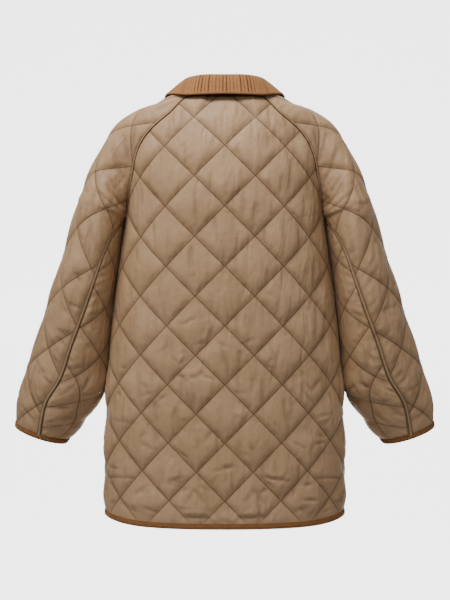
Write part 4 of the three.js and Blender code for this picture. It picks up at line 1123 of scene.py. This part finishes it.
def finish_tape(name, points, length, closed=False):
    """A tape through its sections, with ribs on the bias, raised a little over its face."""
    slant = arc(points[:, TAPE_TOP])[:, None] - arc(TAPE_PROFILE)[None, :]
    rib = np.cos(2 * np.pi * slant / TAPE_RIB)
    groove = (0.5 + 0.5 * rib) ** 1.5
    rib[:, len(TAPE_OUT):], groove[:, len(TAPE_OUT):] = 0, 0.5
    raised = unit(points - points.mean(axis=1, keepdims=True)) * (TAPE_RIB_RISE * rib)[..., None]
    piece = cord_piece(name + "_cord", points + raised, groove, TAPE_CORD, closed)
    stand_for(name)


def side_end(front):
    """Where a body panel's hem ends at the side seam."""
    return float(side_u(np.array(HEM_V - HEM_RISE), front))


def make_hem_tape():
    back_end = side_end(False)
    front_u = np.arange(-LAP - 1, side_end(True), TAPE_STEP)
    back_u = np.linspace(-back_end, back_end, int(2 * back_end / TAPE_STEP))
    front_v = hem_v(FRONT_FORM, front_u)
    left, right = (tape_sections(FRONT_FORM, front_u, front_v, (0, -1), lap_offset(front_u, lift), mirror)
                   for _, lift, mirror, _ in FRONTS)
    back = tape_sections(BACK_FORM, back_u, hem_v(BACK_FORM, back_u), (0, -1), 0 * back_u, False)
    points = np.concatenate([left, back[::-1], right[::-1]])
    finish_tape("binding_hem", points, arc(points[:, TAPE_TOP])[-1])


def make_front_tape(name, lift, mirror):
    top = float(np.interp(-LAP, FRONT_TOP[:, 0], FRONT_TOP[:, 1])) + 0.5
    v = np.arange(top, HEM_V - TAPE_WIDTH - 0.6, TAPE_STEP)
    u = np.full(v.shape, -LAP + SEAM_GAP)
    points = tape_sections(FRONT_FORM, u, v, (1, 0), lap_offset(u, lift), mirror)
    finish_tape("binding_" + name, points, v[-1] - v[0])


def make_cuff_tape(name, mirror):
    end = SLEEVE_LENGTH - SEAM_GAP
    back, front = float(half_width(end, 0)), float(half_width(end, 1))
    u = np.linspace(-front, back, int((front + back) / TAPE_STEP))[:-1]
    points = tape_sections(SLEEVE_FORM, u, np.full(u.shape, end), (0, -1), CUFF_LIFT + 0 * u, mirror)
    finish_tape("binding_cuff_" + name, points, front + back, True)


make_hem_tape()
for front_name, front_lift, mirror_front, _ in FRONTS:
    make_front_tape(front_name, front_lift, mirror_front)
make_cuff_tape("left", False)
make_cuff_tape("right", True)


# Collar
NECK_AXIS = np.array([0, -82, 0])
NECK_STEPS = 200
LEAF_OUT, LEAF_IN, STAND_ROWS = 22, 9, 7  # corners of a section, outside and inside


def neck_seam():
    """The neck seam's left half, from the centre back over the sleeve head to the centre front."""
    step = np.linspace(0, 1, 21)
    back = back_point(step * round_of(turn_at(np.array(58.0), np.array(0.0), False), 0.0), 0 * step)
    over = sleeve_point((1 - step) * half_width(0, 0), 0 * step)
    under = sleeve_point(-step * half_width(0, 1), 0 * step)
    fine = spline(np.arange(5), NECK_FRONT, np.linspace(4, 1.2, 21))
    front = body_point(fine[:, 1], turn_at(fine[:, 0], fine[:, 1], True))
    return evenly(np.concatenate([back, over[1:], under[1:], front[1:]]), NECK_STEPS + 1)


NECK_SEAM = neck_seam()


def outward_from(points):
    out = points - NECK_AXIS
    out[..., 2] = 0
    return unit(out)


def mirrored(columns):
    other = columns[:0:-1] * np.array([-1, 1, 1])
    return np.concatenate([other, columns])


def wales(length, size):
    """Rise of the corduroy's ribs at distances along a piece, and how deep in a groove each place is."""
    wave = 0.5 + 0.5 * np.cos(2 * np.pi * length / size)
    return wave**0.7, (1 - wave) ** 2


def leaf_sections(outer_t, inner_t, count):
    """Points and outward normals of the leaf's left half, at parts of the way from its fold to its edge."""
    part = np.linspace(0, 1, count)
    fold = spline(COLLAR_FOLD[:, 0], COLLAR_FOLD[:, 1:], part)
    edge = spline(COLLAR_EDGE[:, 0], COLLAR_EDGE[:, 1:], part)
    out = outward_from(fold.copy())
    roll = fold + out * 13 + np.array([0, 0, 3])
    fall = mix(edge, fold, 0.38) + out * 6
    side = np.stack([-out[:, 1], out[:, 0], 0 * out[:, 0]], -1)

    def curve(t):
        t = t[None, :, None]
        return ((1 - t) ** 3 * fold[:, None] + 3 * t * (1 - t) ** 2 * roll[:, None]
                + 3 * t * t * (1 - t) * fall[:, None] + t**3 * edge[:, None])

    def normals(t):
        along = curve(np.minimum(t + 0.01, 1)) - curve(np.maximum(t - 0.01, 0))
        normal = unit(np.cross(along, side[:, None]))
        facing = np.sign((normal * out[:, None]).sum(-1) + normal[..., 2])
        return normal * facing[..., None]
    return curve(outer_t), curve(inner_t), normals(outer_t), normals(inner_t)


def make_leaf():
    outer_t, inner_t = np.linspace(0, 1, LEAF_OUT), np.linspace(1, 0, LEAF_IN)
    outer, inner, up, under = leaf_sections(outer_t, inner_t, 481)
    middle = arc(outer[:, LEAF_OUT // 2])
    rise, deep = wales(middle, WALE)
    roll_edge = 0.9 * np.exp(-(((outer_t - 0.93) / 0.07) ** 2))  # the seam fills the leaf's edge
    uneven = 0.5 * np.sin(middle / 23)[:, None] * np.sin(np.pi * outer_t)[None, :]
    lift = WALE_RISE * (rise[:, None] - 0.6) * np.sin(np.pi * np.clip(outer_t * 1.04, 0, 1))[None, :] ** 0.3
    outer = outer + up * (lift + roll_edge[None, :] + uneven)[..., None]
    inner = inner - under * LEAF_THICK
    columns = mirrored(np.concatenate([outer, inner], axis=1))
    # painted shade between the ribs, stronger in some places than others
    uneven_rib_shade = np.interp(middle, np.arange(100) * WALE / 2, np.random.default_rng(5).uniform(0.2, 0.85, 100))
    rim = np.clip((0.95 - outer_t) / 0.05, 0, 1)  # the rolled rim gets no painted rib shade, a painted highlight along the edge
    shade = np.concatenate([(deep * uneven_rib_shade)[:, None] * rim, np.full(inner.shape[:2], 0.6)], axis=1)
    shade = np.concatenate([shade[:0:-1], shade])
    piece = cord_piece("collar_leaf_cord", columns, shade, COLLAR_CORD)
    stand_for("collar_leaf")


def make_stand():
    part = np.linspace(0, 1, 241)
    seam = read(NECK_SEAM, np.arange(NECK_STEPS + 1), part * NECK_STEPS)
    fold = spline(COLLAR_FOLD[:, 0], COLLAR_FOLD[:, 1:], part)
    out = outward_from(seam.copy())
    foot = seam + np.array([0, 0, STAND_LIFT])
    head = fold + 0.5 * outward_from(fold.copy()) + np.array([0, 0, -LEAF_THICK - 0.5])
    t = np.linspace(0, 1, STAND_ROWS)[None, :, None]
    outer = mix(foot[:, None], head[:, None], t) - 0.8 * np.sin(np.pi * t) * out[:, None]
    inner = outer[:, ::-1] - STAND_THICK * out[:, None]
    columns = mirrored(np.concatenate([outer, inner], axis=1))
    shade = np.tile(np.repeat([0.0, 0.3], STAND_ROWS), (len(columns), 1))
    piece = cord_piece("collar_stand_cord", columns, shade, COLLAR_CORD)
    stand_for("collar_stand")


make_stand()
make_leaf()


# Stitches
TRIANGLE = np.arange(3) * 2 * np.pi / 3 + np.pi / 2
STITCH_FACES = [(0, 2, 1), (0, 3, 2), (0, 1, 3), (1, 2, 5, 4), (2, 3, 6, 5), (3, 1, 4, 6),
                (4, 5, 7), (5, 6, 7), (6, 4, 7)]
STITCH_CORNERS = 8
STITCH_RISE, TIP_SINK = 0.12, 0.2  # how far its middle stands out of the cloth and its tips go in
EDGE_KEEP = 2.5  # the quilting stops this far from a seam


def thread_rows(name, runs):
    """One object of small thread stitches; each run holds points on the cloth and its normals there."""
    vertices, faces, base = [], [], 0
    for points, normals in runs:
        along = arc(points)
        places = np.arange(STITCH_PITCH / 2, along[-1], STITCH_PITCH)
        centre = read(points, along, places)
        tangent = unit(read(points, along, places + 0.6) - read(points, along, places - 0.6))
        up = unit(read(normals, along, places))
        side = unit(np.cross(tangent, up))
        rings = []
        for end in (-1, 1):
            middle = centre + tangent * end * STITCH_LENGTH / 4 + up * STITCH_RISE
            rings += [middle + THREAD * (side * np.cos(turn) + up * np.sin(turn)) for turn in TRIANGLE]
        tips = [centre + tangent * end * STITCH_LENGTH / 2 - up * TIP_SINK for end in (-1, 1)]
        vertices.append(np.stack([tips[0], *rings, tips[1]], 1).reshape(-1, 3))
        faces += [[base + STITCH_CORNERS * c + k for k in face]
                  for c in range(len(places)) for face in STITCH_FACES]
        base += STITCH_CORNERS * len(places)
    new_object(name, np.concatenate(vertices), faces, THREAD_MATERIAL)


def runs_on(form, u, v, keep, height, lift, mirror):
    """Splits a line on a panel into runs where keep holds, with points and normals on the cloth."""
    cuts = np.flatnonzero(np.diff(keep.astype(int))) + 1
    runs = []
    for part in np.split(np.arange(len(u)), cuts):
        if len(part) < 3 or not keep[part[0]]:
            continue
        points = form.lay(u[part], v[part], height(u[part], v[part]) + lift(u[part]))
        normals = form.normal(u[part], v[part])
        if mirror:
            points[:, 0] *= -1
            normals[:, 0] *= -1
        runs.append((points, normals))
    return runs


def quilting_lines(grid_form, low, high):
    """The quilting lines of a grid as (u, v) samples, both ways."""
    t = np.arange(-24, 24, 0.02)
    for k in range(-24, 25):
        for a, b in ((k + t, k - t), (k + t, t - k)):
            inside = (b > low) & (b < high)
            if inside.sum() > 3:
                yield grid_form.to_panel(a[inside], b[inside])


def no_lift(u):
    return 0 * u


def panel_stitches(name, form, grid_form, keep, shape, lift=no_lift, mirror=False, rows=()):
    """The quilting stitches of a panel, and whole rows beside its seams."""
    def height(u, v):
        return shape(u, v)[0]
    runs = []
    for u, v in quilting_lines(grid_form, -1.2, 17.5):
        runs += runs_on(form, u, v, keep(u, v), height, lift, mirror)
    for u, v in rows:
        runs += runs_on(form, u, v, np.ones(len(u), bool), height, lift, mirror)
    thread_rows("stitches_" + name, runs)


def keep_back(u, v):
    return ((v > 2) & (v < hem_v(BACK_FORM, u) - TAPE_WIDTH)
            & (np.abs(u) < edge_u(np.maximum(v, 0), False) - EDGE_KEEP))


def keep_front(u, v):
    top = np.interp(u, FRONT_TOP[:, 0], FRONT_TOP[:, 1])
    right = edge_u(np.maximum(v, FRONT_TOP[-1, 1]), True) - EDGE_KEEP
    return (v > top + 3) & (v < hem_v(FRONT_FORM, u) - TAPE_WIDTH) & (u > -LAP + TAPE_WIDTH) & (u < right)


def keep_sleeve(u, v):
    inside = (v > 2) & (v < SLEEVE_LENGTH - TAPE_WIDTH)
    flat = np.where(v < ARMPIT_V, TOPSTITCH, BAND) + 0.8
    return inside & (u < half_width(v, 0) - flat) & (u > -half_width(v, 1) + np.where(v < ARMPIT_V, 4, 1.5))


def sleeve_rows():
    """Rows of stitches beside the raglan seams and on both sides of the band along the sleeve seam."""
    head = np.linspace(4, ARMPIT_V - 2, 200)
    arm = np.linspace(ARMPIT_V + 4, SLEEVE_LENGTH - TAPE_WIDTH, 260)
    return [(half_width(head, 0) - TOPSTITCH, head), (-half_width(head, 1) + TOPSTITCH, head)] + [
        (half_width(arm, 0) - off, arm) for off in BAND_ROWS]


def sewing():
    panel_stitches("back", BACK_FORM, BODY_GRID, keep_back, back_height)
    for name, lift, mirror, seed in FRONTS:
        panel_stitches(name, FRONT_FORM, BODY_GRID, keep_front, partial(front_height, seed=seed),
                       partial(lap_offset, lift=lift), mirror)
    for name, mirror, seed in SLEEVES:
        panel_stitches(name, SLEEVE_FORM, ARM_GRID, keep_sleeve, partial(sleeve_height, seed=seed),
                       mirror=mirror, rows=sleeve_rows())


def tape_stitches():
    """The row that holds the bindings down, just inside their upper edge."""
    def row(form, u, v, lift, mirror):
        return runs_on(form, u, v, np.ones(len(u), bool), lambda a, b: 0 * a + TAPE_ROW_LIFT, lift, mirror)
    front_u = np.linspace(-LAP, side_end(True), 300)
    back_u = np.linspace(-side_end(False), side_end(False), 600)
    down = np.linspace(float(FRONT_TOP[0, 1]) + 3, HEM_V - 12, 700)
    side = np.full(down.shape, -LAP + TAPE_ROW)
    runs = row(BACK_FORM, back_u, hem_v(BACK_FORM, back_u) - TAPE_ROW, no_lift, False)
    for _, lap, mirror, _ in FRONTS:
        lift = partial(lap_offset, lift=lap)
        runs += row(FRONT_FORM, front_u, hem_v(FRONT_FORM, front_u) - TAPE_ROW, lift, mirror)
        runs += row(FRONT_FORM, side, down, lift, mirror)
    end = SLEEVE_LENGTH - 8
    cuff_u = np.linspace(-float(half_width(end, 1)) + 1, float(half_width(end, 0)) - 1, 300)
    for mirror in (False, True):
        runs += row(SLEEVE_FORM, cuff_u, np.full(cuff_u.shape, end), lambda u: 0 * u + CUFF_LIFT, mirror)
    thread_rows("stitches_bindings", runs)


sewing()
tape_stitches()


# Snaps: the cap's profile as shares of its radius and its rise
SNAP_PROFILE = [(0, 0), (1, 0), (1.02, 0.25), (0.97, 0.5), (0.86, 0.62), (0.8, 0.55), (0.74, 0.66), (0.6, 0.84),
                (0.4, 0.95), (0.2, 0.99)]
SNAP_SIDES = 40
SNAP_SEAT = LAP_LIFT + PUFF * LAP_PUFF + 0.35
BESIDE = 0.01  # u next to the centre line, as the form has no side at 0


def make_snap(index, z):
    u, v = np.array([BESIDE]), np.array([float(down_of(z))])
    place = FRONT_FORM.lay(u, v, np.array([SNAP_SEAT]))[0]
    out = FRONT_FORM.normal(u, v)[0]
    side = unit(np.cross(out, np.array([0, 0, 1.0])))
    up = np.cross(side, out)
    turn = np.arange(SNAP_SIDES) / SNAP_SIDES * 2 * np.pi
    ring = np.cos(turn)[:, None] * side + np.sin(turn)[:, None] * up
    rings = [place + ring * r * SNAP_RADIUS + out * h * SNAP_RISE for r, h in SNAP_PROFILE[1:]]
    vertices = np.concatenate([[place], *rings, [place + out * SNAP_RISE]])
    faces = []
    top = 1 + (len(rings) - 1) * SNAP_SIDES
    for k in range(SNAP_SIDES):
        n = (k + 1) % SNAP_SIDES
        faces.append([0, 1 + n, 1 + k])
        for low in range(1, top, SNAP_SIDES):
            high = low + SNAP_SIDES
            faces.append([low + k, low + n, high + n, high + k])
        faces.append([top + k, top + n, len(vertices) - 1])
    piece = new_object(f"snap_cap_{index}", vertices, faces, BRASS)
    turn_out(piece)
    stand_for(f"snap_{index}")


for number, snap_z in enumerate(SNAP_HEIGHTS, 1):
    make_snap(number, snap_z)


# Room, in metres: a plain pale floor that curves up behind, soft light and the camera
FLOOR_Z = -2.0
SWEEP = 1.6  # radius of the curve from the floor to the back of the sweep
CURVE_Y = -3.2  # where the curve starts
SWEEP_HALF, SWEEP_TOP = 9, 8.0
PAPER_GLOW = 3.3  # the sweep is lit through from behind the jacket, so that it stays even there
GLOW_PLACE = (0, CURVE_Y - SWEEP, -0.4)
GLOW_REACH = (2.0, 3.6)  # the glow is whole within the first radius and gone at the second
WORLD_LIGHT = 0.26
JACKET_MIDDLE = (0, 0, -0.4)
LIGHTS = [  # name, place, aim, size, power
    ("top", (0.5, 1.1, 1.6), (0, 0, -0.3), (1.4, 0.7), 80),
    ("front_top", (0, -1.4, 2.0), (0, -0.1, -0.4), (2.4, 1.2), 30),
    ("left", (2.2, 1.1, 0.2), JACKET_MIDDLE, (0.7, 1.8), 9),
    ("right", (-2.2, 1.1, 0.2), JACKET_MIDDLE, (0.7, 1.8), 5),
]
CAMERA_PLACE = (0, 2.645, -0.3847)
LENS, SENSOR = 86.67, 36  # mm
PICTURE_HEIGHT = 600
AXIS_SHIFT = 0.25  # pixels from the picture's middle to the jacket's


def paper_sweep():
    """Matt white paper, lit through in the middle of its upright part."""
    material, tree, shader = new_material("matt_paper", {"Roughness": 1.0, "Specular IOR Level": 0.0})
    shader.inputs["Base Color"].default_value = linear("dedede")
    shader.inputs["Emission Color"].default_value = (1, 1, 1, 1)
    place = add_node(tree, "ShaderNodeTexCoord").outputs["Object"]
    away = add_node(tree, "ShaderNodeVectorMath", {"operation": "DISTANCE", 1: GLOW_PLACE}, {0: place})
    glow = add_node(tree, "ShaderNodeMapRange", {
        "interpolation_type": "SMOOTHSTEP", 1: GLOW_REACH[0], 2: GLOW_REACH[1], 3: PAPER_GLOW, 4: 0.0,
    }, {0: away.outputs["Value"]})
    tree.links.new(glow.outputs[0], shader.inputs["Emission Strength"])
    return material


def make_room():
    turns = np.linspace(0, np.pi / 2, 17)
    profile = [(SWEEP_HALF, FLOOR_Z)]
    profile += [(CURVE_Y - SWEEP * np.sin(turn), FLOOR_Z + SWEEP * (1 - np.cos(turn))) for turn in turns]
    profile += [(CURVE_Y - SWEEP, SWEEP_TOP)]
    vertices = [(x, y, z) for y, z in profile for x in (-SWEEP_HALF, SWEEP_HALF)]
    faces = [[2 * k, 2 * k + 1, 2 * k + 3, 2 * k + 2] for k in range(len(profile) - 1)]
    mesh = bpy.data.meshes.new("floor")
    mesh.from_pydata(vertices, [], faces)
    mesh.polygons.foreach_set("use_smooth", np.ones(len(mesh.polygons), bool))
    mesh.materials.append(paper_sweep())
    floor = bpy.data.objects.new("floor", mesh)
    bpy.context.scene.collection.objects.link(floor)


def add_light(name, place, target, size, power):
    light = bpy.data.lights.new(name, "AREA")
    light.shape = "RECTANGLE"
    light.size, light.size_y = size
    light.energy = power
    lamp = bpy.data.objects.new(name, light)
    lamp.location = place
    lamp.rotation_euler = (Vector(target) - Vector(place)).to_track_quat("-Z", "Y").to_euler()
    bpy.context.scene.collection.objects.link(lamp)


def light_room():
    world = bpy.data.worlds.new("studio")
    bpy.context.scene.world = world
    world.use_nodes = True
    background = world.node_tree.nodes["Background"]
    background.inputs["Color"].default_value = (1, 1, 1, 1)
    background.inputs["Strength"].default_value = WORLD_LIGHT
    for light in LIGHTS:
        add_light(*light)


def set_camera():
    camera = bpy.data.cameras.new("camera")
    camera.lens = LENS
    camera.sensor_width = SENSOR
    camera.shift_x = AXIS_SHIFT / PICTURE_HEIGHT
    camera.clip_end = 50
    eye = bpy.data.objects.new("camera", camera)
    eye.location = CAMERA_PLACE
    eye.rotation_euler = (np.pi / 2, 0, np.pi)
    bpy.context.scene.collection.objects.link(eye)
    bpy.context.scene.camera = eye


make_room()
light_room()
set_camera()
